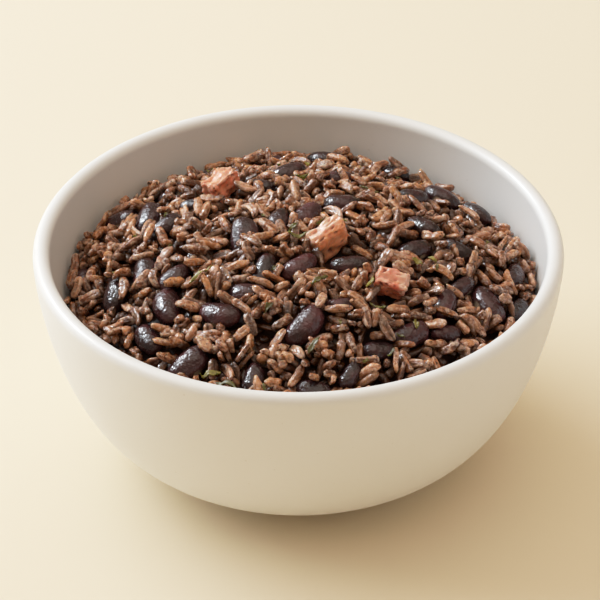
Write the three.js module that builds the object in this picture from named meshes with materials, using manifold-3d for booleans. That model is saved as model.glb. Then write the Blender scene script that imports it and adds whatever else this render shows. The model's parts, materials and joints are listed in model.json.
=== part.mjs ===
// A deep round bowl heaped with rice, black beans and a few cubes of ham.
// Millimetres, +Z up. The origin is the middle of the bowl's foot, on the table.

import * as THREE from 'three';
import { mergeVertices } from 'three/addons/utils/BufferGeometryUtils.js';
import Module from 'manifold-3d';

const wasm = await Module();
wasm.setup();

// ---- Driving dimensions ----------------------------------------------------

const BOWL = {
  radius: 70,          // outside of the rim
  height: 61.5,        // table to the top of the lip
  wall: 4.5,           // wall thickness, and the lip is a half round of it
  bodyBottom: 1.7,     // where the round of the body would meet the axis
  floor: 6.5,          // inside bottom of the bowl
  flare: 0.4,          // superellipse powers of the side: radius ~ sin^flare
  drop: 1.418,         // ... and depth ~ cos^drop
  segments: 48,
  outerAngles: [16, 24, 34, 47, 62, 76, 90],  // degrees up the outer side, above the foot
  innerAngles: [90, 76, 62, 46, 26, 0],       // degrees down the inner side
  lipSteps: 4,
};
const FOOT = { outer: 32.4, inner: 29.6, taper: 1, recess: 2 };

const HEAP = {
  contact: 46,         // height at which the food meets the wall, on average
  rise: 18.6,          // from there to the middle of the heap
  power: 2.3,          // how flat the middle is
  backLift: 1.4,       // the back is fuller than the front
  rightLift: 1.6,      // and the right than the left
  gapAngle: 184,       // a hollow at the wall, degrees from +X
  gapWidth: 17,
  gapDepth: 3.5,
  waves: [             // unevenness of the contact line: height, times round, start in radians
    [0.5, 5, 1], [0.4, 9, 0],
  ],
  coreDepth: 1.7,      // the bare core lies this far under the grains' tops
  relief: 0.5,         // unevenness of the core
  sideMargin: 3,       // the core's side rows end this far under its lowest contact
  slopeStep: 1.5,      // distance over which the slope is taken
  rings: [              // the core's top, from the wall in: share of the way out, facets round
    [1, 48], [0.92, 24], [0.8, 24], [0.67, 24], [0.53, 24], [0.38, 12], [0.2, 12],
  ],
};
const CLEARANCE = 0.42;   // between neighbouring pieces

const GRAIN = {
  length: 8.6, width: 2.9, thickness: 2.6, sides: 5,
  fullness: 1.12,      // drawn this much wider, as its flat sides lie inside its round
  bluntness: 1.45,     // its middle rows are moved out towards its ends
  under: 0.25,         // its top lies this far under the heap's surface
  lean: 8,
  count: 300,          // places tried
  jitter: 0.8,
  wallGap: 2.4,        // between the outermost places and the wall
  wallShare: 0.75,     // shares of its width that it keeps from the wall and from other pieces
  pieceShare: 0.62,
  whole: [0.92, 1.12], // lengths tried first, as shares of the length
  broken: [0.62, 0.8], // and then
  attempts: 10,
  turnStep: 36,
};
// A bean's width, thickness and bend are shares of its length.
const BEAN = {
  width: 0.6, thickness: 0.5, bend: 0.07, uneven: [0.94, 1.06], sunk: 1.3, sides: 8, rows: 4, pocketSides: 6,
};
const HAM = { wear: 0.07, uneven: [0.93, 1.05], reach: 0.62, clearance: 0.5 };
const HERB = { width: 1.7, thickness: 0.6, lift: 0.1, bend: 0.03 };
const SEEDS = { grains: 4107, core: 913, beans: 577, ham: 31, hamStep: 17 };

const COLOURS = {
  glaze: 0xe9e5dc, rice: 0x9a6f4c, bean: 0x33242a, ham: 0xd98562,
};

// Beans that lie in the top of the heap: place of the middle, length, turn
// about +Z and lean of the long axis out of the surface, in mm and degrees.
const BEANS = [
  // front
  { x: 1, y: -34, length: 13.5, turn: 50, lean: 6 },
  { x: -29, y: -41, length: 12.5, turn: 35, lean: 0 },
  { x: 4, y: -51.5, length: 9.5, turn: -15, lean: 0 },
  { x: 13, y: -48, length: 8.5, turn: 60, lean: 0 },
  { x: -12, y: -48, length: 9, turn: 75, lean: 0 },
  { x: 29, y: -33, length: 11, turn: 35, lean: 4 },
  { x: 21, y: -40, length: 9, turn: 10, lean: 0 },
  { x: 10.5, y: -27, length: 7.5, turn: 10, lean: 0 },
  { x: 38, y: -20.5, length: 10, turn: 78, lean: 8 },
  { x: 38.5, y: -30, length: 8.5, turn: 20, lean: 0 },
  // right
  { x: 50.5, y: -15, length: 12.5, turn: -62, lean: 5 },
  { x: 58, y: -12.5, length: 10, turn: 70, lean: 0 },
  { x: 43, y: -11.5, length: 9, turn: 50, lean: 0 },
  { x: 57.5, y: 1, length: 9.5, turn: 78, lean: 0 },
  { x: 43, y: 3, length: 9.5, turn: -25, lean: 0 },
  { x: 33.5, y: 11, length: 11, turn: -45, lean: 12 },
  { x: 31, y: -1, length: 10, turn: 35, lean: 0 },
  { x: 48.5, y: 32, length: 10.5, turn: -50, lean: 8 },
  { x: 39.5, y: 36, length: 11, turn: -30, lean: 0 },
  // middle
  { x: -6.2, y: 6.8, length: 10.5, turn: 62, lean: 20 },
  { x: 2, y: 11.6, length: 10.5, turn: 52, lean: 5 },
  { x: -15, y: 0.5, length: 12.5, turn: 84, lean: 28 },
  { x: -9.5, y: -14.5, length: 11, turn: 72, lean: 16 },
  { x: 0, y: -13, length: 11, turn: 40, lean: 6 },
  { x: 13.5, y: -11.5, length: 10.5, turn: 8, lean: 0 },
  { x: 12, y: 18, length: 11, turn: 8, lean: 0 },
  { x: -13.5, y: -22, length: 10, turn: -12, lean: 5 },
  { x: -20.5, y: -28, length: 12, turn: -28, lean: 6 },
  // left
  { x: -34, y: -22, length: 13, turn: -82, lean: 5 },
  { x: -39, y: -30.5, length: 10.5, turn: -66, lean: 0 },
  { x: -49, y: -6, length: 12.5, turn: 77, lean: 4 },
  { x: -41.5, y: -4, length: 12, turn: 84, lean: 8 },
  { x: -33.5, y: -10.5, length: 10, turn: 28, lean: 5 },
  { x: -58.5, y: 6, length: 10, turn: 86, lean: 0 },
  { x: -48, y: 30, length: 11, turn: -20, lean: 0 },
  { x: -41, y: 23, length: 12, turn: 76, lean: 14 },
  { x: -36, y: 14, length: 11, turn: 30, lean: 6 },
  { x: -35, y: 38, length: 9.5, turn: 48, lean: 10 },
  { x: -28, y: 22.5, length: 9, turn: -12, lean: 0 },
  // back
  { x: -10.8, y: 30.5, length: 9.5, turn: -25, lean: 0 },
  { x: -3, y: 40, length: 11, turn: 28, lean: 5 },
  { x: -8, y: 57.5, length: 9, turn: 5, lean: 0 },
  { x: 8, y: 56.5, length: 12, turn: -16, lean: 0 },
  { x: 27, y: 52, length: 8.5, turn: -30, lean: 0 },
  { x: 31, y: 29.5, length: 10, turn: 25, lean: 0 },
  { x: 11, y: 37, length: 8.5, turn: 18, lean: 0 },
  { x: -24.5, y: 53.5, length: 9.5, turn: 25, lean: 0 },
];

const HAM_CUBES = [
  { x: 8, y: -4, size: [9.8, 5.2, 8.6], turn: 36, lean: 24, tip: 7, lift: 1.6 },
  { x: 24, y: -18.9, size: [8.2, 5.6, 6], turn: -10, tip: 8, lift: 0.5 },
  { x: -20.6, y: 28.6, size: [9.6, 5, 6.4], turn: 49, lean: 12, tip: 8, lift: 1 },
];

const HERBS = [
  { x: -25.5, y: -18, turn: 48, length: 5.4 },
  { x: 5.5, y: -22, turn: 25, length: 4 },
  { x: 0, y: -3.5, turn: -10, length: 4 },
  { x: 20.5, y: -28.5, turn: -20, length: 3.6 },
  { x: -22.5, y: -46, turn: 12, length: 4 },
  { x: -18.5, y: -51, turn: -38, length: 5 },
  { x: 1.5, y: 31, turn: 42, length: 4.6 },
  { x: 18.5, y: -21, turn: 70, length: 3.6 },
  { x: 4, y: -43.5, turn: 60, length: 4 },
  { x: 19, y: 24, turn: -15, length: 4 },
];

// ---- Helpers ---------------------------------------------------------------

const rad = THREE.MathUtils.degToRad;

// Park-Miller generator, so that every run draws the same numbers.
function randomSource(seed) {
  let state = seed;
  return (low, high) => {
    state = (state * 48271) % 2147483647;
    return low + (high - low) * (state / 2147483647);
  };
}

// A closed geometry as a manifold solid.
function toSolid(geometry) {
  geometry.deleteAttribute('normal');
  geometry.deleteAttribute('uv');
  const merged = mergeVertices(geometry, 1e-4);
  return new wasm.Manifold(new wasm.Mesh({
    numProp: 3,
    vertProperties: Float32Array.from(merged.attributes.position.array),
    triVerts: Uint32Array.from(merged.index.array),
  }));
}

function toGeometry(solid) {
  const mesh = solid.getMesh();
  const geometry = new THREE.BufferGeometry();
  geometry.setAttribute('position', new THREE.BufferAttribute(mesh.vertProperties, 3));
  geometry.setIndex(new THREE.BufferAttribute(mesh.triVerts, 1));
  return geometry;
}

// The largest body of a solid, without loose scraps.
function largestBody(solid) {
  return solid.decompose().reduce((best, body) => (body.volume() > best.volume() ? body : best));
}

// Moves every vertex of a geometry by a function of its place.
function reshape(geometry, move) {
  const position = geometry.attributes.position;
  const point = new THREE.Vector3();
  for (let i = 0; i < position.count; i++) {
    move(point.fromBufferAttribute(position, i));
    position.setXYZ(i, point.x, point.y, point.z);
  }
  return geometry;
}

// ---- Bowl ------------------------------------------------------------------

const LIP_RADIUS = BOWL.wall / 2;
const LIP_CENTRE = BOWL.height - LIP_RADIUS;

// A point of the side, from 0 degrees at the axis to 90 under the lip.
function sidePoint(radius, bottom, degrees) {
  const angle = rad(degrees);
  return new THREE.Vector2(
    radius * Math.sin(angle) ** BOWL.flare,
    LIP_CENTRE - (LIP_CENTRE - bottom) * Math.max(Math.cos(angle), 0) ** BOWL.drop,
  );
}

const outerPoint = (degrees) => sidePoint(BOWL.radius, BOWL.bodyBottom, degrees);
const innerPoint = (degrees) => sidePoint(BOWL.radius - BOWL.wall, BOWL.floor, degrees);

function bowlProfile() {
  const footTop = FOOT.outer + FOOT.taper;
  const startAngle = THREE.MathUtils.radToDeg(Math.asin((footTop / BOWL.radius) ** (1 / BOWL.flare)));
  const points = [
    new THREE.Vector2(0, FOOT.recess),
    new THREE.Vector2(FOOT.inner - FOOT.taper, FOOT.recess),
    new THREE.Vector2(FOOT.inner, 0),
    new THREE.Vector2(FOOT.outer, 0),
  ];
  [startAngle, ...BOWL.outerAngles].forEach((degrees) => points.push(outerPoint(degrees)));
  for (let i = 1; i < BOWL.lipSteps; i++) {
    const angle = Math.PI * i / BOWL.lipSteps;
    points.push(new THREE.Vector2(
      BOWL.radius - LIP_RADIUS + LIP_RADIUS * Math.cos(angle),
      LIP_CENTRE + LIP_RADIUS * Math.sin(angle),
    ));
  }
  BOWL.innerAngles.forEach((degrees) => points.push(innerPoint(degrees)));
  points.at(-1).x = 0;
  return points;
}

function makeBowl() {
  const lathe = new THREE.LatheGeometry(bowlProfile(), BOWL.segments);
  return toGeometry(toSolid(lathe.rotateX(Math.PI / 2)));
}

// Radius of the faceted inner side at a height.
function innerRadius(height) {
  const points = BOWL.innerAngles.map(innerPoint);
  const below = points.findIndex((point) => point.y <= height);
  if (below <= 0) return points[0].x;
  const [high, low] = [points[below - 1], points[below]];
  return THREE.MathUtils.mapLinear(height, low.y, high.y, low.x, high.x);
}

// ---- Heap surface ----------------------------------------------------------

// Height at which the food meets the wall in one direction.
function contactHeight(angle) {
  const fromGap = THREE.MathUtils.euclideanModulo(
    THREE.MathUtils.radToDeg(angle) - HEAP.gapAngle + 180, 360) - 180;
  const unevenness = HEAP.waves.reduce(
    (sum, [height, times, start]) => sum + height * Math.sin(times * angle + start), 0);
  return HEAP.contact + HEAP.backLift * Math.sin(angle) + HEAP.rightLift * Math.cos(angle)
    + unevenness - HEAP.gapDepth * Math.exp(-((fromGap / HEAP.gapWidth) ** 2));
}

// Height of the tops of the grains over a place.
function heapTop(x, y) {
  const contact = contactHeight(Math.atan2(y, x));
  const reach = Math.min(Math.hypot(x, y) / innerRadius(contact), 1);
  const middle = HEAP.contact + HEAP.rise;
  return contact + (middle - contact) * (1 - reach ** HEAP.power);
}

function heapNormal(x, y) {
  const step = HEAP.slopeStep;
  const slopeX = (heapTop(x + step, y) - heapTop(x - step, y)) / (2 * step);
  const slopeY = (heapTop(x, y + step) - heapTop(x, y - step)) / (2 * step);
  return new THREE.Vector3(-slopeX, -slopeY, 1).normalize();
}

// Places a piece on the heap: +Z along the surface's normal, then turned about
// it, its +X end leaned up, tipped about its own X, and lifted from the grains' tops.
function placeOnHeap(geometry, { x, y, turn, lean = 0, tip = 0, lift = 0 }) {
  const normal = heapNormal(x, y);
  const stand = new THREE.Quaternion().setFromUnitVectors(new THREE.Vector3(0, 0, 1), normal);
  const spin = new THREE.Quaternion().setFromAxisAngle(new THREE.Vector3(0, 0, 1), rad(turn));
  const leaning = new THREE.Quaternion().setFromAxisAngle(new THREE.Vector3(0, 1, 0), rad(-lean));
  const tipping = new THREE.Quaternion().setFromAxisAngle(new THREE.Vector3(1, 0, 0), rad(tip));
  const place = new THREE.Vector3(x, y, heapTop(x, y)).addScaledVector(normal, lift);
  geometry.applyQuaternion(stand.multiply(spin).multiply(leaning).multiply(tipping));
  return geometry.translate(place.x, place.y, place.z);
}

// ---- Beans, ham, herbs and grains ------------------------------------------

// A kidney shape along X.
function beanShape(bean) {
  return kidney(bean, BEAN.sides, 0, 1);
}

// The room that a bean takes: the same shape with fewer sides drawn round it.
function beanPocket(bean) {
  return kidney(bean, BEAN.pocketSides, CLEARANCE, 1 / Math.cos(Math.PI / BEAN.pocketSides));
}

function kidney(bean, sides, grow, spread) {
  const length = bean.length + 2 * grow;
  const width = bean.length * bean.widthRatio * spread + 2 * grow;
  const thickness = bean.length * bean.thicknessRatio * spread + 2 * grow;
  const ball = new THREE.SphereGeometry(0.5, sides, BEAN.rows).rotateZ(Math.PI / 2);
  ball.scale(length, width, thickness);
  return reshape(ball, (point) => {
    point.y += BEAN.bend * bean.length * (4 * (point.x / length) ** 2 - 0.5);
  });
}

// An irregular cube with its corners worn; grow adds a margin all round.
function hamShape(cube, grow = 0) {
  const random = randomSource(cube.seed);
  const block = mergeVertices(stripped(new THREE.BoxGeometry(1, 1, 1, 2, 2, 2)), 1e-4);
  return reshape(block, (point) => {
    const worn = 1 - HAM.wear * Math.max(point.lengthSq() - 0.5, 0);
    ['x', 'y', 'z'].forEach((axis, index) => {
      point[axis] *= worn * (cube.size[index] * random(...HAM.uneven) + 2 * grow);
    });
  });
}

function stripped(geometry) {
  geometry.deleteAttribute('normal');
  geometry.deleteAttribute('uv');
  return geometry;
}

// A flat pointed leaf along X, bent a little, with both faces split alike.
function herbShape(herb) {
  const ball = new THREE.SphereGeometry(0.5, 4, 3).rotateZ(Math.PI / 2);
  ball.scale(herb.length, HERB.width, HERB.thickness);
  return reshape(ball, (point) => { point.z += HERB.bend * point.x * point.x; });
}

// A many-sided grain along X with blunt ends.
function grainShape(scale) {
  const ball = new THREE.SphereGeometry(0.5, GRAIN.sides, 3).rotateZ(Math.PI / 2);
  return reshape(ball, (point) => {
    const isEnd = Math.abs(point.x) > 0.49;
    point.x *= (isEnd ? 1 : GRAIN.bluntness) * GRAIN.length * scale;
    point.y *= GRAIN.width * GRAIN.fullness;
    point.z *= GRAIN.thickness * GRAIN.fullness;
  });
}

// True where a grain laid at a place would run into a bean, a cube or the wall.
function grainCrosses(grain, obstacles) {
  const half = GRAIN.length * grain.scale / 2;
  const direction = [Math.cos(rad(grain.turn)), Math.sin(rad(grain.turn))];
  for (const along of [-1, -0.5, 0, 0.5, 1]) {
    const x = grain.x + direction[0] * half * along;
    const y = grain.y + direction[1] * half * along;
    const room = innerRadius(contactHeight(Math.atan2(y, x))) - CLEARANCE - GRAIN.width * GRAIN.wallShare;
    if (Math.hypot(x, y) > room) return true;
    for (const other of obstacles) {
      const angle = rad(-other.turn);
      const dx = x - other.x;
      const dy = y - other.y;
      const u = dx * Math.cos(angle) - dy * Math.sin(angle);
      const v = dx * Math.sin(angle) + dy * Math.cos(angle);
      const margin = GRAIN.width * GRAIN.pieceShare + CLEARANCE;
      const reachU = other.halfLength + margin;
      const reachV = other.halfWidth + margin;
      if ((u / reachU) ** 2 + (v / reachV) ** 2 < 1) return true;
    }
  }
  return false;
}

// Grains spread evenly over the heap on a sunflower spiral, each with its own
// turn; one that would cross another piece is turned, then shortened or skipped.
function layGrains(obstacles) {
  const random = randomSource(SEEDS.grains);
  const grains = [];
  const goldenAngle = Math.PI * (3 - Math.sqrt(5));
  const reach = innerRadius(HEAP.contact) - GRAIN.wallGap;
  for (let i = 0; i < GRAIN.count; i++) {
    const radius = reach * Math.sqrt((i + 0.5) / GRAIN.count);
    const grain = {
      x: radius * Math.cos(i * goldenAngle) + random(-GRAIN.jitter, GRAIN.jitter),
      y: radius * Math.sin(i * goldenAngle) + random(-GRAIN.jitter, GRAIN.jitter),
      lean: random(-GRAIN.lean, GRAIN.lean),
      lift: -GRAIN.under - GRAIN.thickness / 2,
    };
    const firstTurn = random(0, 180);
    for (let attempt = 0; attempt < GRAIN.attempts; attempt++) {
      grain.turn = firstTurn + attempt * GRAIN.turnStep;
      grain.scale = random(...(attempt < GRAIN.attempts / 2 ? GRAIN.whole : GRAIN.broken));
      if (grainCrosses(grain, obstacles)) continue;
      grains.push(grain);
      break;
    }
  }
  return grains;
}

// ---- Rice heap -------------------------------------------------------------

// The bare core: it follows the bowl's inner side and ends in a domed top.
function makeCore() {
  const random = randomSource(SEEDS.core);
  const lowestContact = HEAP.contact - HEAP.coreDepth - HEAP.gapDepth - HEAP.sideMargin;
  const sideRows = BOWL.innerAngles.map(innerPoint)
    .filter((point) => point.x > BOWL.wall && point.y < lowestContact)
    .map((point) => ({
      count: BOWL.segments,
      place: (angle) => {
        const radius = point.x - CLEARANCE;
        return [radius * Math.cos(angle), radius * Math.sin(angle), point.y + CLEARANCE];
      },
    }));
  const topRows = HEAP.rings.map(([share, count]) => ({
    count,
    place: (angle) => {
      const rim = innerRadius(contactHeight(angle) - HEAP.coreDepth) - CLEARANCE;
      const [x, y] = [rim * share * Math.cos(angle), rim * share * Math.sin(angle)];
      const bump = share < 1 ? random(-HEAP.relief, HEAP.relief) : 0;
      return [x, y, heapTop(x, y) - HEAP.coreDepth + bump];
    },
  }));
  return stackRings(
    [0, 0, BOWL.floor + CLEARANCE],
    [...sideRows.reverse(), ...topRows],
    [0, 0, heapTop(0, 0) - HEAP.coreDepth],
  );
}

// A closed solid from rings between a bottom and a top point. A ring has as
// many facets as the one under it or half as many.
function stackRings(bottom, rows, top) {
  const vertices = [bottom];
  const starts = [];
  for (const row of rows) {
    starts.push(vertices.length);
    for (let j = 0; j < row.count; j++) vertices.push(row.place(2 * Math.PI * j / row.count));
  }
  vertices.push(top);

  const faces = [];
  const at = (row, j) => starts[row] + (j % rows[row].count);
  const last = rows.length - 1;
  for (let j = 0; j < rows[0].count; j++) faces.push([0, at(0, j + 1), at(0, j)]);
  for (let row = 0; row < last; row++) {
    const halves = rows[row].count !== rows[row + 1].count;
    for (let j = 0; j < rows[row + 1].count; j++) {
      const low = halves ? 2 * j : j;
      if (halves) faces.push([at(row, low), at(row, low + 1), at(row + 1, j)]);
      const next = halves ? low + 1 : low;
      faces.push([at(row, next), at(row, next + 1), at(row + 1, j + 1)]);
      faces.push([at(row, next), at(row + 1, j + 1), at(row + 1, j)]);
    }
  }
  for (let j = 0; j < rows[last].count; j++) faces.push([at(last, j), at(last, j + 1), vertices.length - 1]);

  const geometry = new THREE.BufferGeometry();
  geometry.setAttribute('position', new THREE.Float32BufferAttribute(vertices.flat(), 3));
  geometry.setIndex(faces.flat());
  return toSolid(geometry);
}

function makeHeap(beans, cubes) {
  let heap = makeCore();
  for (const bean of beans) {
    heap = heap.subtract(toSolid(placeOnHeap(beanPocket(bean), bean)));
  }
  for (const cube of cubes) {
    heap = heap.subtract(toSolid(placeOnHeap(hamShape(cube, HAM.clearance), cube)));
  }
  const obstacles = [
    ...beans.map((bean) => ({
      ...bean, halfLength: bean.length / 2, halfWidth: bean.length * bean.widthRatio / 2,
    })),
    ...cubes.map((cube) => ({
      ...cube, halfLength: cube.size[0] * HAM.reach, halfWidth: cube.size[1] * HAM.reach,
    })),
  ];
  for (const grain of layGrains(obstacles)) {
    heap = heap.add(toSolid(placeOnHeap(grainShape(grain.scale), grain)));
  }
  for (const herb of HERBS) {
    heap = heap.add(toSolid(placeOnHeap(herbShape(herb), { ...herb, lift: HERB.lift - HERB.thickness })));
  }
  return largestBody(heap);
}

// ---- Assembly --------------------------------------------------------------

const material = (color, roughness) => new THREE.MeshStandardMaterial({ color, roughness, metalness: 0 });
const glaze = material(COLOURS.glaze, 0.3);
const rice = material(COLOURS.rice, 0.5);
const beanSkin = material(COLOURS.bean, 0.25);
const ham = material(COLOURS.ham, 0.45);

const model = new THREE.Group();

function addPiece(name, geometry, finish) {
  const mesh = new THREE.Mesh(geometry, finish);
  mesh.name = name;
  model.add(mesh);
}

const numbered = (stem, index) => `${stem}_${String(index + 1).padStart(2, '0')}`;

const beanRandom = randomSource(SEEDS.beans);
const beans = BEANS.map((bean) => ({
  ...bean,
  widthRatio: BEAN.width * beanRandom(...BEAN.uneven),
  thicknessRatio: BEAN.thickness * beanRandom(...BEAN.uneven),
  lift: -BEAN.sunk,
}));
const cubes = HAM_CUBES.map((cube, index) => ({ ...cube, seed: SEEDS.ham + SEEDS.hamStep * index }));

addPiece('bowl', makeBowl(), glaze);
addPiece('rice_heap', toGeometry(makeHeap(beans, cubes)), rice);
beans.forEach((bean, index) => {
  addPiece(numbered('bean', index), toGeometry(toSolid(placeOnHeap(beanShape(bean), bean))), beanSkin);
});
cubes.forEach((cube, index) => {
  addPiece(numbered('ham', index), toGeometry(toSolid(placeOnHeap(hamShape(cube), cube))), ham);
});

export default model;
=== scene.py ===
"""A deep white bowl heaped with rice, black beans, ham cubes and flecks of herb."""

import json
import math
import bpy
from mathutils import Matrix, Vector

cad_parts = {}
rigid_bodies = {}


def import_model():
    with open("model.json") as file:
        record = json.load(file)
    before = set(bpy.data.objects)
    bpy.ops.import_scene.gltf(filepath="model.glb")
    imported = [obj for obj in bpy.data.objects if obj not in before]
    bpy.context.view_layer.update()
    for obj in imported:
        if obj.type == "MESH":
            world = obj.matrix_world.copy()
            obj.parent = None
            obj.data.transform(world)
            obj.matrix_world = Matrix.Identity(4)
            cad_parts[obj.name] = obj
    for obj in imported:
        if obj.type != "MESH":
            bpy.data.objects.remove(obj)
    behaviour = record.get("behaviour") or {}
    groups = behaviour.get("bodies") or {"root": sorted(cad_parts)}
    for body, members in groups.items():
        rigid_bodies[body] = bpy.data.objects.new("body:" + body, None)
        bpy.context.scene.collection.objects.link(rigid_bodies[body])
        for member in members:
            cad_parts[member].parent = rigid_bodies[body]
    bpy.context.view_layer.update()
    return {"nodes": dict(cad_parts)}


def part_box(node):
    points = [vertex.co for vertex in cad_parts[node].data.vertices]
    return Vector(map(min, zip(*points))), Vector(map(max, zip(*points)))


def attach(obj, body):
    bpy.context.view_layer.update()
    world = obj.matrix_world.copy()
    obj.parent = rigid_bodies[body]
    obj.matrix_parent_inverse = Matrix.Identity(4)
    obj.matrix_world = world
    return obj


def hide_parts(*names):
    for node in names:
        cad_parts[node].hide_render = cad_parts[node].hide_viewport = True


bl_info = {
    "name": "Bowl of Rice and Beans",
    "version": (1, 0, 0),
    "blender": (4, 5, 0),
    "location": "View3D > Sidebar > Rice Bowl",
    "description": "Builds a glazed bowl with a heap of rice, beans, ham and herbs",
    "category": "Add Mesh",
}

from typing import NamedTuple

import bpy
import numpy as np
from bpy.props import FloatProperty, FloatVectorProperty, IntProperty, PointerProperty
from bpy.types import Operator, Panel, PropertyGroup
from mathutils import Vector, noise
from mathutils.bvhtree import BVHTree

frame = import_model()

MM = 0.001
BODY = "root"
BOWL_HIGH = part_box("bowl")[1]
SAME_PLACE = 0.01 * MM    # points nearer than this are one


def colour_property(name, description, default):
    """A linear colour that the user may change."""
    return FloatVectorProperty(name=name, description=description, default=default,
                               subtype="COLOR", size=3, min=0.0, max=1.0)


def length_property(name, description, millimetres):
    """A length, given in millimetres and kept in metres."""
    return FloatProperty(name=name, description=description, default=millimetres * MM,
                         min=0.0, unit="LENGTH", subtype="DISTANCE")


# ---- Settings ----------------------------------------------------------------

class BowlSettings(PropertyGroup):
    wall: length_property("Wall", "Thickness of the wall; the lip is a half round of it", 4.5)
    floor: length_property("Floor", "Height of the inside bottom", 6.5)
    body_bottom: length_property("Body Bottom", "Where the round of the body meets the axis", 1.7)
    foot_outer: length_property("Foot Outer", "Outside radius of the foot ring", 32.4)
    foot_inner: length_property("Foot Inner", "Inside radius of the foot ring", 29.6)
    foot_recess: length_property("Foot Recess", "Height of the hollow under the foot", 2.0)
    flare: FloatProperty(name="Flare", description="Power of the radius up the side", default=0.4)
    drop: FloatProperty(name="Drop", description="Power of the depth down the side", default=1.418)
    segments: IntProperty(name="Segments", description="Faces round the bowl", default=160, min=12)
    glaze: colour_property("Glaze", "White glaze", (0.86, 0.86, 0.845))
    biscuit: colour_property("Biscuit", "Bare clay of the foot's rim", (0.60, 0.50, 0.38))


class HeapSettings(PropertyGroup):
    contact: length_property("Contact", "Mean height at which the food meets the wall", 46)
    rise: length_property("Rise", "From there to the middle of the heap", 18.6)
    power: FloatProperty(name="Power", description="Flatness of the middle", default=2.3)
    back_lift: length_property("Back Lift", "How much fuller the back is", 1.4)
    right_lift: length_property("Right Lift", "How much fuller the right is", 1.6)
    gap_angle: FloatProperty(name="Gap Angle", description="Direction of the hollow at the wall",
                             default=math.radians(184), subtype="ANGLE")
    gap_width: FloatProperty(name="Gap Width", description="Spread of the hollow",
                             default=math.radians(17), subtype="ANGLE")
    gap_depth: length_property("Gap Depth", "Depth of the hollow", 3.5)
    slump: length_property("Slump", "How much lower the back right is", 2.8)
    layer: length_property("Layer", "Depth of the loose grains", 6.0)
    core_depth: length_property("Core Depth", "The core lies this far under the grains' tops", 5.2)
    # The core's near-black colour is painted shade of the deep gaps between the grains.
    deep_shade: colour_property("Sauce", "Dark moist rice deep in the heap", (0.026, 0.009, 0.005))


class RiceSettings(PropertyGroup):
    length: length_property("Length", "Length of a whole grain", 7.2)
    width: length_property("Width", "Width of a grain", 2.5)
    count: IntProperty(name="Count", description="Grains in the top layer", default=4800, min=1)
    lumps: length_property("Lumps", "Unevenness of the heap's surface", 2.0)
    lift: length_property("Lift", "How far the grains rise between the beans", 0.2)
    bank: length_property("Bank", "How much lower the grains lie round the beans", 0.35)
    hollow: length_property("Hollow", "How much lower the grains lie in front of the ham", 2.4)
    tumble: FloatProperty(name="Tumble", description="How steeply grains lie; 1 is any way", default=0.9)
    bundled: FloatProperty(name="Bundled", description="How much neighbours lie the same way", default=1.2)
    closeness: FloatProperty(name="Closeness", description="Share of their width that grains keep apart",
                             default=0.77)
    sprinkled: IntProperty(name="Sprinkled", description="Grains dropped on top", default=520, min=1)
    # Strength of the painted shade on grains that lie deep under the heap's top.
    shade: FloatProperty(name="Shade", description="How dark the sauce is between the grains", default=0.8)
    sink: length_property("Sink", "How far a dropped grain sinks in", 0.35)
    seed: IntProperty(name="Seed", description="Seed of the heap", default=11)
    deep: colour_property("Deep", "Stained grains", (0.088, 0.028, 0.010))
    brown: colour_property("Brown", "Brown grains", (0.345, 0.132, 0.052))
    tan: colour_property("Tan", "Tan grains", (0.63, 0.338, 0.178))
    pale: colour_property("Pale", "Split grains' insides", (0.84, 0.62, 0.48))
    orange: colour_property("Orange", "Cast of some grains", (1.0, 0.82, 0.58))
    rosy: colour_property("Rosy", "Cast of others", (0.92, 0.86, 0.93))


class BeanSettings(PropertyGroup):
    relief: length_property("Relief", "Unevenness of the skin", 0.22)
    wrinkle: length_property("Wrinkle", "Depth of the creases", 0.16)
    seed: IntProperty(name="Seed", description="Seed of the skins", default=23)
    black: colour_property("Black", "Dark skin", (0.018, 0.008, 0.008))
    purple: colour_property("Purple", "Reddish skin", (0.115, 0.035, 0.039))


class HamSettings(PropertyGroup):
    relief: length_property("Relief", "Unevenness of the cut faces", 0.5)
    lean: colour_property("Lean", "Orange lean", (0.96, 0.39, 0.19))
    red: colour_property("Red", "Red lean", (0.80, 0.21, 0.125))
    # Pale colour of the fat, also used as painted light on the cubes' lit faces.
    fat_and_lit_face: colour_property("Fat", "Pale fat", (0.82, 0.50, 0.37))
    # Dark colour of the painted shade in the pits and hollows.
    painted_pit_colour: colour_property("Crust", "Browned pits", (0.22, 0.06, 0.035))


class HerbSettings(PropertyGroup):
    width: length_property("Width", "Width of a piece of leaf", 1.25)
    small_flecks: IntProperty(name="Small Flecks", description="Smaller flecks", default=26, min=0)
    seed: IntProperty(name="Seed", description="Seed of the flecks", default=5)
    thickness: length_property("Thickness", "Thickness of a leaf", 0.22)
    green: colour_property("Green", "Cooked leaf", (0.075, 0.062, 0.008))
    yellow: colour_property("Yellow", "Lit leaf", (0.36, 0.29, 0.05))


class StageSettings(PropertyGroup):
    elevation: FloatProperty(name="Elevation", description="Camera above the horizon",
                             default=math.radians(34.65), subtype="ANGLE")
    distance: length_property("Distance", "Camera to the middle of the rim", 1149)
    lens: FloatProperty(name="Lens", description="Focal length in mm for a 36 mm sensor", default=261.7)
    aim_right: length_property("Aim Right", "Aim point right of the rim's middle", 0.4)
    aim_down: length_property("Aim Down", "Aim point under the rim's middle", 15.0)
    floor_colour: colour_property("Floor", "Pale tabletop", (0.90, 0.778, 0.582))
    key_colour: colour_property("Key", "Window light", (0.845, 0.93, 1.0))
    key_power: FloatProperty(name="Key Power", description="Watts of the window light", default=22.5)
    low_colour: colour_property("Low", "Light of the room near the horizon", (1.0, 0.79, 0.585))
    low_strength: FloatProperty(name="Low Strength", description="Strength of it", default=0.30)
    high_colour: colour_property("High", "Light from the ceiling", (1.0, 0.88, 0.765))
    high_strength: FloatProperty(name="High Strength", description="Strength of it", default=2.0)


# ---- Small tools ---------------------------------------------------------------

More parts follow.
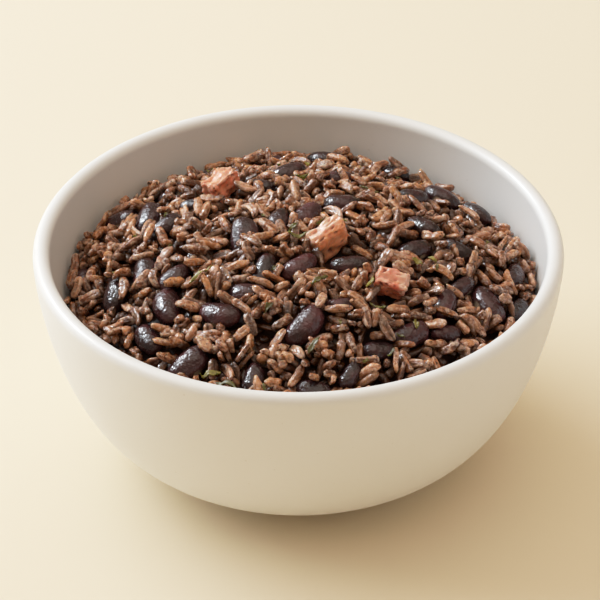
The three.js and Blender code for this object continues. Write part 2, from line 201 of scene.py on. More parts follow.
def deselect_all():
    """Leaves edit mode and selects nothing."""
    if bpy.context.object and bpy.context.object.mode != "OBJECT":
        bpy.ops.object.mode_set(mode="OBJECT")
    bpy.ops.object.select_all(action="DESELECT")


def edit_all(obj):
    """Goes into edit mode on one object, with all of it selected."""
    deselect_all()
    obj.select_set(True)
    bpy.context.view_layer.objects.active = obj
    bpy.ops.object.mode_set(mode="EDIT")
    bpy.ops.mesh.select_all(action="SELECT")


def new_object(name, mesh):
    """Links a mesh to the scene as an object at the origin."""
    obj = bpy.data.objects.new(name, mesh)
    bpy.context.scene.collection.objects.link(obj)
    return obj


def mesh_points(mesh):
    """A mesh's vertices as an array."""
    points = np.zeros(len(mesh.vertices) * 3, np.float32)
    mesh.vertices.foreach_get("co", points)
    return points.reshape(-1, 3).astype(float)


def set_mesh_points(mesh, points):
    """Moves a mesh's vertices."""
    mesh.vertices.foreach_set("co", np.asarray(points, np.float32).ravel())
    mesh.update()


def set_tint(mesh, *channels):
    """Gives each vertex its tint, up to four channels that the materials read."""
    tint = np.ones((len(mesh.vertices), 4), np.float32)
    for number, channel in enumerate(channels):
        tint[:, number] = np.asarray(channel).ravel()
    layer = mesh.color_attributes.new("tint", "FLOAT_COLOR", "POINT")
    layer.data.foreach_set("color", tint.ravel())


def noise_at(points, size=1.0, shift=(0, 0, 0)):
    """Smooth noise from -1 to 1, with features of a size, at each of many points."""
    shift = Vector(shift)
    return np.array([noise.noise(Vector(point) / size + shift) for point in points])


def wrapped(angle):
    """Angles between minus half a turn and half a turn."""
    return (angle + math.pi) % (2 * math.pi) - math.pi


def finish_piece(obj, material, slot, *nodes):
    """Gives a piece its material, hangs it on the body and hides the CAD nodes that it stands for."""
    obj.data.materials.clear()
    obj.data.materials.append(material)
    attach(obj, BODY)
    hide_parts(*nodes)


def joined_mesh(name, points, faces):
    """One smooth mesh from many copies of a shape with the same faces.

    points is (copies, vertices, 3) and faces a list of index tuples.
    """
    copies, count = points.shape[:2]
    sizes = np.array([len(face) for face in faces])
    indices = np.concatenate([np.array(face) for face in faces])
    all_indices = (indices[None, :] + count * np.arange(copies)[:, None]).ravel()
    starts = np.concatenate([[0], np.cumsum(sizes)[:-1]])
    all_starts = (starts[None, :] + len(indices) * np.arange(copies)[:, None]).ravel()

    mesh = bpy.data.meshes.new(name)
    mesh.vertices.add(copies * count)
    mesh.loops.add(len(all_indices))
    mesh.polygons.add(len(all_starts))
    mesh.vertices.foreach_set("co", points.astype(np.float32).ravel())
    mesh.loops.foreach_set("vertex_index", all_indices.astype(np.int32))
    mesh.polygons.foreach_set("loop_start", all_starts.astype(np.int32))
    mesh.update(calc_edges=True)
    mesh.polygons.foreach_set("use_smooth", np.ones(len(all_starts), bool))
    mesh.validate()
    return mesh


def tube_faces(rings, sides):
    """Faces of a closed shape: a first pole, rings of vertices and a last pole."""
    faces = []
    last = 1 + rings * sides
    for j in range(sides):
        k = (j + 1) % sides
        faces.append((0, 1 + k, 1 + j))
        for i in range(rings - 1):
            low, high = 1 + i * sides, 1 + (i + 1) * sides
            faces.append((low + j, low + k, high + k, high + j))
        low = 1 + (rings - 1) * sides
        faces.append((low + j, low + k, last))
    return faces


# ---- Shader tools ----------------------------------------------------------------

def add_node(tree, kind, **values):
    """Adds a node; keys are its properties, or the names of its inputs."""
    node = tree.nodes.new(kind)
    for key, value in values.items():
        if hasattr(node, key):
            setattr(node, key, value)
        else:
            node.inputs[key].default_value = value
    return node


def mix_colours(tree, factor, first, second, blend="MIX"):
    """A colour mix; each input is a socket or a plain value."""
    node = add_node(tree, "ShaderNodeMix", data_type="RGBA", blend_type=blend)
    for socket, value in ((node.inputs[0], factor), (node.inputs[6], first), (node.inputs[7], second)):
        if isinstance(value, bpy.types.NodeSocket):
            tree.links.new(value, socket)
        else:
            socket.default_value = (*value, 1.0) if socket.type == "RGBA" else value
    return node.outputs[2]


def map_value(tree, value, low, high, to_low=0.0, to_high=1.0):
    """A value mapped from one range to another, kept inside it."""
    node = tree.nodes.new("ShaderNodeMapRange")
    tree.links.new(value, node.inputs[0])
    for index, number in enumerate((low, high, to_low, to_high), start=1):
        node.inputs[index].default_value = number
    return node.outputs[0]


def lay_over(tree, colour, mask, strength, other):
    """A colour with another laid over it where a mask is, at a strength."""
    return mix_colours(tree, map_value(tree, mask, 0.0, 1.0, 0.0, strength), colour, other)


def new_material(name):
    """A material with its Principled shader; returns material, tree, shader."""
    material = bpy.data.materials.new(name)
    material.use_nodes = True
    return material, material.node_tree, material.node_tree.nodes["Principled BSDF"]


def make_group(name, output, output_kind, **inputs):
    """A node group of a noise in the piece's own coordinates; returns its tree, both ends and the noise."""
    tree = bpy.data.node_groups.new(name, "ShaderNodeTree")
    for label, default in inputs.items():
        socket = tree.interface.new_socket(label, in_out="INPUT", socket_type="NodeSocketFloat")
        socket.default_value = default
    tree.interface.new_socket(output, in_out="OUTPUT", socket_type=output_kind)
    given, out = tree.nodes.new("NodeGroupInput"), tree.nodes.new("NodeGroupOutput")
    place, cloud = tree.nodes.new("ShaderNodeTexCoord"), tree.nodes.new("ShaderNodeTexNoise")
    tree.links.new(place.outputs["Object"], cloud.inputs["Vector"])
    for label in ("Scale", "Detail"):
        tree.links.new(given.outputs[label], cloud.inputs[label])
    return tree, given, out, cloud.outputs["Fac"]


def mottle_group():
    """Soft blotches, as a mask."""
    if "Mottle" in bpy.data.node_groups:
        return bpy.data.node_groups["Mottle"]
    tree, given, out, cloud = make_group("Mottle", "Mask", "NodeSocketFloat",
                                         Scale=300.0, Detail=3.0, Low=0.35, High=0.65)
    ramp = tree.nodes.new("ShaderNodeMapRange")
    tree.links.new(cloud, ramp.inputs["Value"])
    tree.links.new(given.outputs["Low"], ramp.inputs["From Min"])
    tree.links.new(given.outputs["High"], ramp.inputs["From Max"])
    tree.links.new(ramp.outputs["Result"], out.inputs["Mask"])
    return tree


def relief_group():
    """Fine unevenness of a surface, as a normal."""
    if "Fine Relief" in bpy.data.node_groups:
        return bpy.data.node_groups["Fine Relief"]
    tree, given, out, cloud = make_group("Fine Relief", "Normal", "NodeSocketVector",
                                         Scale=800.0, Depth=0.0001, Strength=0.5, Detail=4.0)
    bump = tree.nodes.new("ShaderNodeBump")
    tree.links.new(cloud, bump.inputs["Height"])
    tree.links.new(given.outputs["Depth"], bump.inputs["Distance"])
    tree.links.new(given.outputs["Strength"], bump.inputs["Strength"])
    tree.links.new(bump.outputs["Normal"], out.inputs["Normal"])
    return tree


def use_group(tree, group, **values):
    """Places a node group in a material with its own values; returns what it puts out."""
    node = add_node(tree, "ShaderNodeGroup", node_tree=group)
    for key, value in values.items():
        node.inputs[key].default_value = value
    return node.outputs[0]


def mottle(tree, **values):
    """The mask of a mottle group placed in a material."""
    return use_group(tree, mottle_group(), **values)


def tint_channels(tree):
    """The four channels of the piece's own tint attribute."""
    source = add_node(tree, "ShaderNodeAttribute", attribute_name="tint")
    split = tree.nodes.new("ShaderNodeSeparateColor")
    tree.links.new(source.outputs["Color"], split.inputs[0])
    return (*split.outputs[:3], source.outputs["Alpha"])


def dress(tree, shader, colour, film, smooth, rough, **relief):
    """Sets a colour, a roughness that goes from smooth to rough with a film, and a fine relief."""
    tree.links.new(colour, shader.inputs["Base Color"])
    tree.links.new(map_value(tree, film, 0.0, 1.0, smooth, rough), shader.inputs["Roughness"])
    normal = use_group(tree, relief_group(), **relief)
    tree.links.new(normal, shader.inputs["Normal"])
    return normal


def let_light_in(shader, weight, colour, depth):
    """Sets how much light goes under the surface, its colour and how deep it goes."""
    shader.inputs["Subsurface Weight"].default_value = weight
    shader.inputs["Subsurface Radius"].default_value = colour
    shader.inputs["Subsurface Scale"].default_value = depth


# ---- Materials -------------------------------------------------------------------

def glaze_material(bowl):
    """White glaze with faint clouds and specks, and bare clay under the foot."""
    material, tree, shader = new_material("white_glaze")
    clouds = mottle(tree, Scale=22.0, Detail=2.0, Low=0.3, High=0.7)
    specks = mottle(tree, Scale=900.0, Detail=1.0, Low=0.74, High=0.80)
    warmth = (0.985, 0.975, 0.955)
    warm_glaze = tuple(channel * share for channel, share in zip(bowl.glaze, warmth))
    glaze = mix_colours(tree, clouds, bowl.glaze, warm_glaze)
    glaze = lay_over(tree, glaze, specks, 0.16, (0.42, 0.36, 0.28))
    place = tree.nodes.new("ShaderNodeTexCoord")
    height = tree.nodes.new("ShaderNodeSeparateXYZ")
    tree.links.new(place.outputs["Object"], height.inputs[0])
    bare = map_value(tree, height.outputs["Z"], 0.45 * MM, 0.9 * MM, 1.0, 0.0)
    colour = mix_colours(tree, bare, glaze, bowl.biscuit)
    dress(tree, shader, colour, clouds, 0.38, 0.50, Scale=60.0, Depth=0.12 * MM, Strength=0.25)
    return material


def rice_material(rice):
    """Moist brown rice: tone with painted light and shade on its lumps, painted shade deep in the heap and in
    the grooves, split inside and cast come from each grain's tint.
    """
    material, tree, shader = new_material("moist_rice")
    tone, painted_shade, inside, cast = tint_channels(tree)
    # The tone mixes each grain's own random tone with painted light on raised ridges and lumps and painted
    # shade in bites.
    colour = mix_colours(tree, map_value(tree, tone, 0.0, 0.45), rice.deep, rice.brown)
    colour = mix_colours(tree, map_value(tree, tone, 0.40, 0.95), colour, rice.tan)
    casts = mix_colours(tree, cast, rice.orange, rice.rosy)
    colour = mix_colours(tree, 1.0, colour, casts, "MULTIPLY")

    along = add_node(tree, "ShaderNodeUVMap", uv_map="along")
    fibres = add_node(tree, "ShaderNodeTexNoise", Scale=1.0, Detail=3.0)
    tree.links.new(along.outputs[0], fibres.inputs["Vector"])
    # Painted highlight on the fibre ridges and painted shade in the fibre grooves; the same noise is the bump
    # below.
    painted_ridge_light = map_value(tree, fibres.outputs["Fac"], 0.50, 0.64, 0.0, 0.4)
    colour = mix_colours(tree, painted_ridge_light, colour, rice.tan)
    painted_groove_shade = map_value(tree, fibres.outputs["Fac"], 0.46, 0.34, 0.0, 0.4)
    colour = mix_colours(tree, painted_groove_shade, colour, rice.deep)

    patches = mottle(tree, Scale=420.0, Detail=3.0, Low=0.52, High=0.66)
    colour = lay_over(tree, colour, patches, 0.55, rice.deep)
    glow = mottle(tree, Scale=800.0, Detail=3.0, Low=0.50, High=0.62)
    colour = lay_over(tree, colour, glow, 0.5, rice.pale)
    colour = mix_colours(tree, inside, colour, rice.pale)
    pits = mottle(tree, Scale=1700.0, Detail=2.0, Low=0.47, High=0.33)
    colour = lay_over(tree, colour, pits, 0.4, rice.deep)
    specks = mottle(tree, Scale=1000.0, Detail=2.0, Low=0.655, High=0.69)
    colour = lay_over(tree, colour, specks, 0.8, (0.012, 0.006, 0.004))
    # Painted shade: grains deep under the heap's top, and their grooves, are darkened towards the deep
    # colour.
    colour = mix_colours(tree, painted_shade, colour, tuple(0.6 * channel for channel in rice.deep))

    film = mottle(tree, Scale=350.0, Detail=2.0, Low=0.4, High=0.6)
    relief = dress(tree, shader, colour, film, 0.08, 0.24,
                   Scale=1250.0, Depth=0.27 * MM, Strength=1.0, Detail=1.4)
    bump = add_node(tree, "ShaderNodeBump", Strength=1.0, Distance=0.34 * MM)
    tree.links.new(fibres.outputs["Fac"], bump.inputs["Height"])
    tree.links.new(relief, bump.inputs["Normal"])
    tree.links.new(bump.outputs["Normal"], shader.inputs["Normal"])
    let_light_in(shader, 0.3, (1.0, 0.36, 0.12), 1.0 * MM)
    return material


def bean_material(beans):
    """Wet bean skin, black to purple, with a pale scar where the bean was fixed."""
    material, tree, shader = new_material("bean_skin")
    tone, shaded_crease, scar, _ = tint_channels(tree)
    clouds = mottle(tree, Scale=240.0, Detail=3.0, Low=0.35, High=0.68)
    share = add_node(tree, "ShaderNodeMath", operation="MULTIPLY")
    tree.links.new(tone, share.inputs[0])
    tree.links.new(map_value(tree, clouds, 0.0, 1.0, 0.35, 1.0), share.inputs[1])
    colour = mix_colours(tree, share.outputs[0], beans.black, beans.purple)
    # Painted shade in the skin's creases.
    colour = lay_over(tree, colour, shaded_crease, 0.5, (0.012, 0.006, 0.006))
    colour = mix_colours(tree, scar, colour, (0.42, 0.33, 0.24))
    film = mottle(tree, Scale=500.0, Detail=3.0, Low=0.4, High=0.62)
    dress(tree, shader, colour, film, 0.10, 0.30, Scale=1050.0, Depth=0.30 * MM, Strength=1.0, Detail=1.0)
    return material


def ham_material(ham):
    """Cooked ham: pink lean, pale fat and painted light on the lit faces, painted shade in the pits, moist.
    """
    material, tree, shader = new_material("cooked_ham")
    fat_and_lit_face, pit_shade, redness, _ = tint_channels(tree)
    colour = mix_colours(tree, redness, ham.lean, ham.red)
    fibres = mottle(tree, Scale=450.0, Detail=4.0, Low=0.35, High=0.65)
    between_fibres = map_value(tree, fibres, 0.0, 1.0, 0.35, 0.0)
    colour = mix_colours(tree, between_fibres, colour, (0.40, 0.11, 0.05))
    # Pale fat, and painted light on the lit faces.
    colour = mix_colours(tree, fat_and_lit_face, colour, ham.fat_and_lit_face)
    marbling = mottle(tree, Scale=500.0, Detail=4.0, Low=0.54, High=0.66)
    colour = lay_over(tree, colour, marbling, 0.35, ham.fat_and_lit_face)
    # Painted shade in the pits and hollows.
    colour = mix_colours(tree, pit_shade, colour, ham.painted_pit_colour)
    film = mottle(tree, Scale=400.0, Detail=3.0, Low=0.4, High=0.6)
    dress(tree, shader, colour, film, 0.24, 0.45, Scale=900.0, Depth=0.25 * MM, Strength=1.0, Detail=3.0)
    let_light_in(shader, 0.45, (1.0, 0.45, 0.25), 2.0 * MM)
    return material


def herb_material(herbs):
    """Cooked leaf, olive to yellow-green."""
    material, tree, shader = new_material("cooked_leaf")
    tone = tint_channels(tree)[0]
    veins = mottle(tree, Scale=1400.0, Detail=3.0, Low=0.4, High=0.6)
    colour = mix_colours(tree, tone, herbs.green, herbs.yellow)
    colour = lay_over(tree, colour, veins, 0.45, herbs.green)
    dress(tree, shader, colour, veins, 0.35, 0.50, Scale=1600.0, Depth=0.08 * MM, Strength=0.5)
    let_light_in(shader, 0.15, (0.5, 0.6, 0.1), 0.8 * MM)
    return material


def core_material(heap):
    """The inside of the heap, painted near black as the shade deep between the grains."""
    material, tree, shader = new_material("deep_rice")
    blotches = mottle(tree, Scale=300.0, Detail=3.0, Low=0.4, High=0.65)
    # Painted shade: near black, a little lighter in blotches.
    lighter = tuple(2.2 * channel for channel in heap.deep_shade)
    colour = mix_colours(tree, blotches, heap.deep_shade, lighter)
    dress(tree, shader, colour, blotches, 0.6, 0.8, Scale=450.0, Depth=0.8 * MM, Strength=0.6)
    shader.inputs["Specular IOR Level"].default_value = 0.2
    return material


def floor_material(stage):
    """A plain pale tabletop."""
    material, tree, shader = new_material("pale_tabletop")
    clouds = mottle(tree, Scale=3.0, Detail=2.0, Low=0.3, High=0.7)
    deeper = tuple(0.97 * channel for channel in stage.floor_colour)
    colour = mix_colours(tree, clouds, stage.floor_colour, deeper)
    tree.links.new(colour, shader.inputs["Base Color"])
    shader.inputs["Roughness"].default_value = 0.7
    shader.inputs["Specular IOR Level"].default_value = 0.25
    return material


# ---- Forms shared by the pieces ------------------------------------------------

# Where the food lies lower at the back right: its direction and its spread.
SLUMP_ANGLE = math.radians(38)
SLUMP_WIDTH = math.radians(27)


def side_point(bowl, radius, bottom, angle):
    """(radius, height) on the bowl's side: angle 0 is on the axis, a quarter turn is under the lip."""
    lip = BOWL_HIGH.z - bowl.wall / 2
    return (radius * math.sin(angle) ** bowl.flare,
            lip - (lip - bottom) * max(math.cos(angle), 0.0) ** bowl.drop)


def inner_radius(bowl, height):
    """Radius of the inside wall at a height, which may be an array."""
    lip = BOWL_HIGH.z - bowl.wall / 2
    share = np.clip((lip - height) / (lip - bowl.floor), 0.0, 1.0)
    return (BOWL_HIGH.x - bowl.wall) * np.sin(np.arccos(share ** (1 / bowl.drop))) ** bowl.flare


def contact_height(heap, angle):
    """Height at which the food meets the wall in one direction, as an array."""
    from_gap = wrapped(angle - heap.gap_angle)
    unevenness = 0.5 * MM * np.sin(5 * angle + 1) + 0.4 * MM * np.sin(9 * angle)
    return (heap.contact + heap.back_lift * np.sin(angle) + heap.right_lift * np.cos(angle)
            + unevenness - heap.gap_depth * np.exp(-(from_gap / heap.gap_width) ** 2)
            - heap.slump * np.exp(-((angle - SLUMP_ANGLE) / SLUMP_WIDTH) ** 2))


def heap_top(bowl, heap, x, y):
    """Height of the tops of the grains over a place, as an array."""
    contact = contact_height(heap, np.arctan2(y, x))
    rim = inner_radius(bowl, heap.contact)
    reach = np.minimum(np.hypot(x, y) / rim, 1.0)
    middle = heap.contact + heap.rise
    return contact + (middle - contact) * (1 - reach ** heap.power)


def nodes_named(stem):
    """The CAD nodes whose names start with a stem, in order."""
    return sorted(name for name in frame["nodes"] if name.startswith(stem))


def node_points(name):
    """The corners of a CAD node, each once."""
    points = mesh_points(frame["nodes"][name].data)
    return np.unique(np.round(points, 7), axis=0)


def box_along(points, axes):
    """Middle and half sizes of points along three axes."""
    local = points @ axes.T
    low, high = local.min(0), local.max(0)
    return axes.T @ ((low + high) / 2), (high - low) / 2


def bean_frame(name):
    """Middle, axes (long, wide, thin) and half sizes of a bean's solid.

    Its wide axis points to its hollow side.
    """
    points = node_points(name)
    centre = points.mean(0)
    axes = np.linalg.svd(points - centre, full_matrices=False)[2]
    if axes[2, 2] < 0:
        axes[2] *= -1
    local = (points - centre) @ axes.T
    long_share = local[:, 0] ** 2 / (local[:, 0] ** 2).max()
    if np.polyfit(long_share, local[:, 1], 1)[0] < 0:
        axes[1] *= -1
    axes[0] = np.cross(axes[1], axes[2])
    middle, half = box_along(points - centre, axes)
    return centre + middle, axes, half


def block_frame(name):
    """Middle, axes and half sizes of a worn block's solid, from its largest faces."""
    mesh = frame["nodes"][name].data
    normals = []
    for face in sorted(mesh.polygons, key=lambda face: -face.area):
        if all(abs(face.normal.dot(normal)) < 0.35 for normal in normals):
            normals.append(face.normal.copy())
    first, second = normals[:2]
    across = first.cross(second).normalized()
    axes = np.array([first, across.cross(first), across])
    middle, half = box_along(node_points(name), axes)
    return middle, axes, half


# ---- Bowl ------------------------------------------------------------------------

class RICEBOWL_OT_bowl(Operator):
    """Add the round glazed bowl"""
    bl_idname = "rice_bowl.bowl"
    bl_label = "Add Bowl"

    side_steps = 30
    lip_steps = 12
    foot_edge = 0.5 * MM

    def side(self, bowl, radius, bottom, start):
        """The round of the body, from an angle up to the lip."""
        return [side_point(bowl, radius, bottom, start + (math.pi / 2 - start) * i / self.side_steps)
                for i in range(self.side_steps + 1)]

    def foot(self, bowl):
        """Outline of the foot, from the middle of its hollow to the body."""
        recess, inner, outer = bowl.foot_recess, bowl.foot_inner, bowl.foot_outer
        return [
            (0.0, recess), (0.6 * inner, recess), (inner - 1.6 * MM, recess),
            (inner - 0.7 * MM, 0.8 * recess), (inner - 0.2 * MM, self.foot_edge),
            (inner + self.foot_edge, 0.0), (outer - self.foot_edge, 0.0), (outer, self.foot_edge),
            (outer + 0.1 * MM, bowl.body_bottom),
        ]

    def profile(self, bowl):
        """Outline of the bowl's section, from under the foot round the lip to the inside bottom."""
        foot_top = bowl.foot_outer + 0.9 * MM
        start = math.asin((foot_top / BOWL_HIGH.x) ** (1 / bowl.flare))
        lip = bowl.wall / 2
        turns = [math.pi * i / self.lip_steps for i in range(1, self.lip_steps)]
        over_lip = [(BOWL_HIGH.x - lip + lip * math.cos(turn), BOWL_HIGH.z - lip + lip * math.sin(turn))
                    for turn in turns]
        inside = self.side(bowl, BOWL_HIGH.x - bowl.wall, bowl.floor, 0.0)[::-1]
        inside[-1] = (0.0, bowl.floor)
        return self.foot(bowl) + self.side(bowl, BOWL_HIGH.x, bowl.body_bottom, start) + over_lip + inside

    def execute(self, context):
        bowl = context.scene.bowl
        outline = self.profile(bowl)
        mesh = bpy.data.meshes.new("bowl_glazed")
        mesh.from_pydata([(r, 0.0, z) for r, z in outline], [(i, i + 1) for i in range(len(outline) - 1)], [])
        obj = new_object("bowl_glazed", mesh)
        edit_all(obj)
        bpy.ops.mesh.spin(steps=bowl.segments, angle=2 * math.pi, center=(0, 0, 0), axis=(0, 0, 1))
        bpy.ops.mesh.select_all(action="SELECT")
        bpy.ops.mesh.remove_doubles(threshold=SAME_PLACE)
        bpy.ops.mesh.normals_make_consistent(inside=False)
        bpy.ops.object.mode_set(mode="OBJECT")
        bpy.ops.object.shade_smooth()
        finish_piece(obj, glaze_material(bowl), "glaze", "bowl")
        return {"FINISHED"}


# ---- Heap core -------------------------------------------------------------------

class RICEBOWL_OT_core(Operator):
    """Add the inside of the heap, painted near black as shade, which the grains cover"""
    bl_idname = "rice_bowl.core"
    bl_label = "Add Heap Core"

    sides = 96
    side_rows = 12
    top_rows = 40
    side_end = math.radians(48)
    margin = 0.4 * MM
    bump_size = 3.2 * MM
    bump_height = 0.9 * MM

    def execute(self, context):
        bowl, heap = context.scene.bowl, context.scene.heap
        angles = 2 * math.pi * np.arange(self.sides) / self.sides
        rows = [self.side_row(bowl, angles, i / self.side_rows) for i in range(1, self.side_rows + 1)]
        rows += [self.top_row(bowl, heap, angles, i / self.top_rows) for i in range(self.top_rows, 0, -1)]
        bottom = (0, 0, bowl.floor + self.margin)
        top = (0, 0, float(heap_top(bowl, heap, 0.0, 0.0)) - heap.core_depth)
        points = np.concatenate([[bottom], *rows, [top]])
        mesh = joined_mesh("heap_core", points[None], tube_faces(len(rows), self.sides))
        finish_piece(new_object("heap_core", mesh), core_material(heap), "rice", "rice_heap")
        return {"FINISHED"}

    def side_row(self, bowl, angles, share):
        """A ring just inside the wall, up to under the grains."""
        radius, height = side_point(bowl, BOWL_HIGH.x - bowl.wall, bowl.floor, self.side_end * share)
        radius -= self.margin
        level = np.full(len(angles), height + self.margin)
        return np.stack([radius * np.cos(angles), radius * np.sin(angles), level], 1)

    def top_row(self, bowl, heap, angles, share):
        """A ring of the bumpy top, which sinks towards the wall."""
        rim = inner_radius(bowl, contact_height(heap, angles) - 1.25 * heap.core_depth) - self.margin
        x, y = rim * share * np.cos(angles), rim * share * np.sin(angles)
        z = heap_top(bowl, heap, x, y) - heap.core_depth * (1 + 0.25 * share ** 12)
        if share < 1:
            z += self.bump_height * noise_at(np.stack([x, y, 0 * x], 1), self.bump_size)
        return np.stack([x, y, z], 1)


# ---- Beans -----------------------------------------------------------------------

class RICEBOWL_OT_beans(Operator):
    """Add the black beans, each in the place of its solid"""
    bl_idname = "rice_bowl.beans"
    bl_label = "Add Beans"

    rings = 30
    sides = 36
    scar_length = 0.17    # as a share of half the bean
    scar_width = 0.035
    scar_depth = 0.25 * MM

    def unit_bean(self):
        """A primitive sphere with its poles on X; modelled once and copied."""
        deselect_all()
        bpy.ops.mesh.primitive_uv_sphere_add(segments=self.sides, ring_count=self.rings, radius=1.0)
        obj = bpy.context.object
        edit_all(obj)
        bpy.ops.transform.rotate(value=math.pi / 2, orient_axis="Y", center_override=(0, 0, 0))
        bpy.ops.object.mode_set(mode="OBJECT")
        bpy.ops.object.shade_smooth()
        return obj

    def execute(self, context):
        beans = context.scene.beans
        random = np.random.default_rng(beans.seed)
        material = bean_material(beans)
        pattern = self.unit_bean()
        unit = mesh_points(pattern.data)
        for name in nodes_named("bean_"):
            middle, axes, half = bean_frame(name)
            local = self.body(unit, half, random)
            push, *tint = self.skin(beans, unit, random)
            way = unit / np.linalg.norm(unit, axis=1, keepdims=True)
            obj = new_object(name + "_skin", pattern.data.copy())
            set_mesh_points(obj.data, middle + (local + way * push[:, None]) @ axes)
            set_tint(obj.data, *tint)
            finish_piece(obj, material, "bean_skin", name)
        bpy.data.objects.remove(pattern)
        return {"FINISHED"}

    def body(self, unit, half, random):
        """The bean's blunt, bent and tapered body in its own axes."""
        x, y, z = unit.T
        bluntness = random.uniform(2.3, 3.0)
        fullness = (1 - np.abs(x) ** bluntness) ** 0.5 / np.maximum((1 - x ** 2) ** 0.5, 1e-4)
        fullness = np.where(np.abs(x) > 0.9999, 1.0, fullness)
        bend = random.uniform(0.06, 0.16) * half[0] * (x ** 2 - 0.4)
        fullness = fullness * (1.0 - random.uniform(-0.1, 0.1) * x)
        return np.stack([x * half[0], y * half[1] * 0.96 * fullness + bend, z * half[2] * fullness], 1)

    def skin(self, beans, unit, random):
        """How far the skin stands out, and its tone, creases and scar."""
        x, y, z = unit.T
        shift = random.uniform(-50, 50, 3)
        large = noise_at(unit * 1.4, shift=shift)
        small = noise_at(unit * (5.5, 3.2, 3.2), shift=shift)
        wrinkled = random.uniform(0.15, 1) ** 2
        waves = np.sin(np.arctan2(z, y) * random.integers(8, 12) + 4.0 * large + 2.5 * x)
        # The creases sink the skin, and the same mask paints their shade.
        shaded_crease = np.clip(waves * 1.5 - 0.4, 0, 1) * np.clip(6 * (0.93 - np.abs(x)), 0, 1) * wrinkled
        shaded_crease *= np.clip(0.5 + 2.5 * small, 0, 1)
        scarred = random.uniform() < 0.6
        scar = scarred * np.exp(-(x / self.scar_length) ** 2 - ((y + 1) / self.scar_width) ** 2)
        push = beans.relief * (large + 0.5 * small) - beans.wrinkle * shaded_crease - self.scar_depth * scar
        tone = np.clip(random.beta(1.3, 1.8) + 0.5 * large, 0, 1)
        return push, tone, shaded_crease, np.clip(scar * 1.3, 0, 1)


# ---- Ham -------------------------------------------------------------------------

class RICEBOWL_OT_ham(Operator):
    """Add the cubes of ham, each in the place of its solid"""
    bl_idname = "rice_bowl.ham"
    bl_label = "Add Ham"

    # For each piece: its pale bands, each with the way it faces, where it starts between the
    # middle (0) and the far side (1) and how pale it is, and then how red its lean is. The bands that
    # face up and towards the lamp are painted light on the lit faces; only the second piece's
    # side band is fat.
    cuts = [
        ([((-0.66, 0.43, 0.62), 0.34, 1.0)], 0.0),
        ([((0.0, 0.3, 0.95), 0.25, 0.4), ((0.97, -0.1, 0.2), 0.5, 0.9)], 0.85),
        ([((-0.60, 0.45, 0.66), 0.1, 0.6)], 0.55),
    ]
    worn_edge = 0.55 * MM

    def execute(self, context):
        ham = context.scene.ham
        material = ham_material(ham)
        for name, (bands, redness) in zip(nodes_named("ham_"), self.cuts):
            obj = self.cube(name)
            self.roughen(obj.data, ham, block_frame(name), bands, redness)
            finish_piece(obj, material, "ham", name)
        return {"FINISHED"}

    def cube(self, name):
        """The solid's own block with worn edges and fine faces."""
        obj = new_object(name + "_cut", frame["nodes"][name].data.copy())
        edit_all(obj)
        bpy.ops.mesh.remove_doubles(threshold=SAME_PLACE)
        bpy.ops.mesh.tris_convert_to_quads(face_threshold=math.radians(60), shape_threshold=math.radians(60))
        bpy.ops.object.mode_set(mode="OBJECT")
        bevel = obj.modifiers.new("worn edges", "BEVEL")
        bevel.width = self.worn_edge
        bevel.segments = 2
        bevel.angle_limit = math.radians(35)
        bpy.ops.object.modifier_apply(modifier=bevel.name)
        smooth = obj.modifiers.new("fine faces", "SUBSURF")
        smooth.subdivision_type = "SIMPLE"
        smooth.levels = smooth.render_levels = 3
        bpy.ops.object.modifier_apply(modifier=smooth.name)
        bpy.ops.object.shade_smooth()
        return obj

    def roughen(self, mesh, ham, block, bands, redness):
        """Fibres and pits in the cut faces, and the tint: fat with painted light on the lit faces, painted
        shade in the pits and hollows, and redness.
        """
        points = mesh_points(mesh)
        normals = np.zeros(len(points) * 3, np.float32)
        mesh.vertices.foreach_get("normal", normals)
        middle, axes, half = block
        local = (points - middle) @ axes.T / half
        shift = Vector((7.3 * redness, 1.7, 4.1))
        broad = noise_at(local * 1.3, shift=shift)
        knobs = noise_at(local * 2.8, shift=-shift)
        fibre = noise_at(local * (2.0, 8.0, 8.0), shift=shift)
        pits = np.clip((noise_at(local * 3.6, shift=shift * 2) - 0.30) * 5, 0, 1)
        push = ham.relief * (1.6 * broad + 1.1 * knobs + 0.25 * fibre - 1.2 * pits)
        set_mesh_points(mesh, points + normals.reshape(-1, 3) * push[:, None])

        # Pale bands: fat, and painted light on the faces that are turned up and towards the lamp.
        fat_and_lit_face = np.zeros(len(points))
        for way, start, paleness in bands:
            place = (points - middle) @ np.array(way)
            place /= np.abs(place).max()
            band = np.clip((place - start + 0.22 * knobs + 0.1 * fibre) * 5 + 0.5, 0, 1)
            fat_and_lit_face = np.maximum(fat_and_lit_face, paleness * band)
        # Painted shade: darker in the pits pushed into the faces and in the low hollows between the knobs.
        hollow_shade = 0.4 * np.clip(-2.6 * knobs - 0.5, 0, 1) * (1 - fat_and_lit_face)
        pit_shade = np.clip(pits * (1 - 0.8 * fat_and_lit_face) + hollow_shade, 0, 0.9)
        set_tint(mesh, fat_and_lit_face, pit_shade, np.clip(redness + 0.5 * broad, 0, 1))


# ---- Packing ---------------------------------------------------------------------

def closest_places(middle_1, axis_1, reach_1, middle_2, axis_2, reach_2):
    """How far along two axes, each within its reach, their closest points lie; as arrays."""
    apart = middle_1 - middle_2
    cosine = (axis_1 * axis_2).sum(1)
    first, second = (axis_1 * apart).sum(1), (axis_2 * apart).sum(1)
    slant = np.maximum(1 - cosine ** 2, 1e-6)
    place_1 = np.clip((cosine * second - first) / slant, -reach_1, reach_1)
    place_2 = np.clip(cosine * place_1 + second, -reach_2, reach_2)
    return np.clip(cosine * place_2 - first, -reach_1, reach_1), place_2


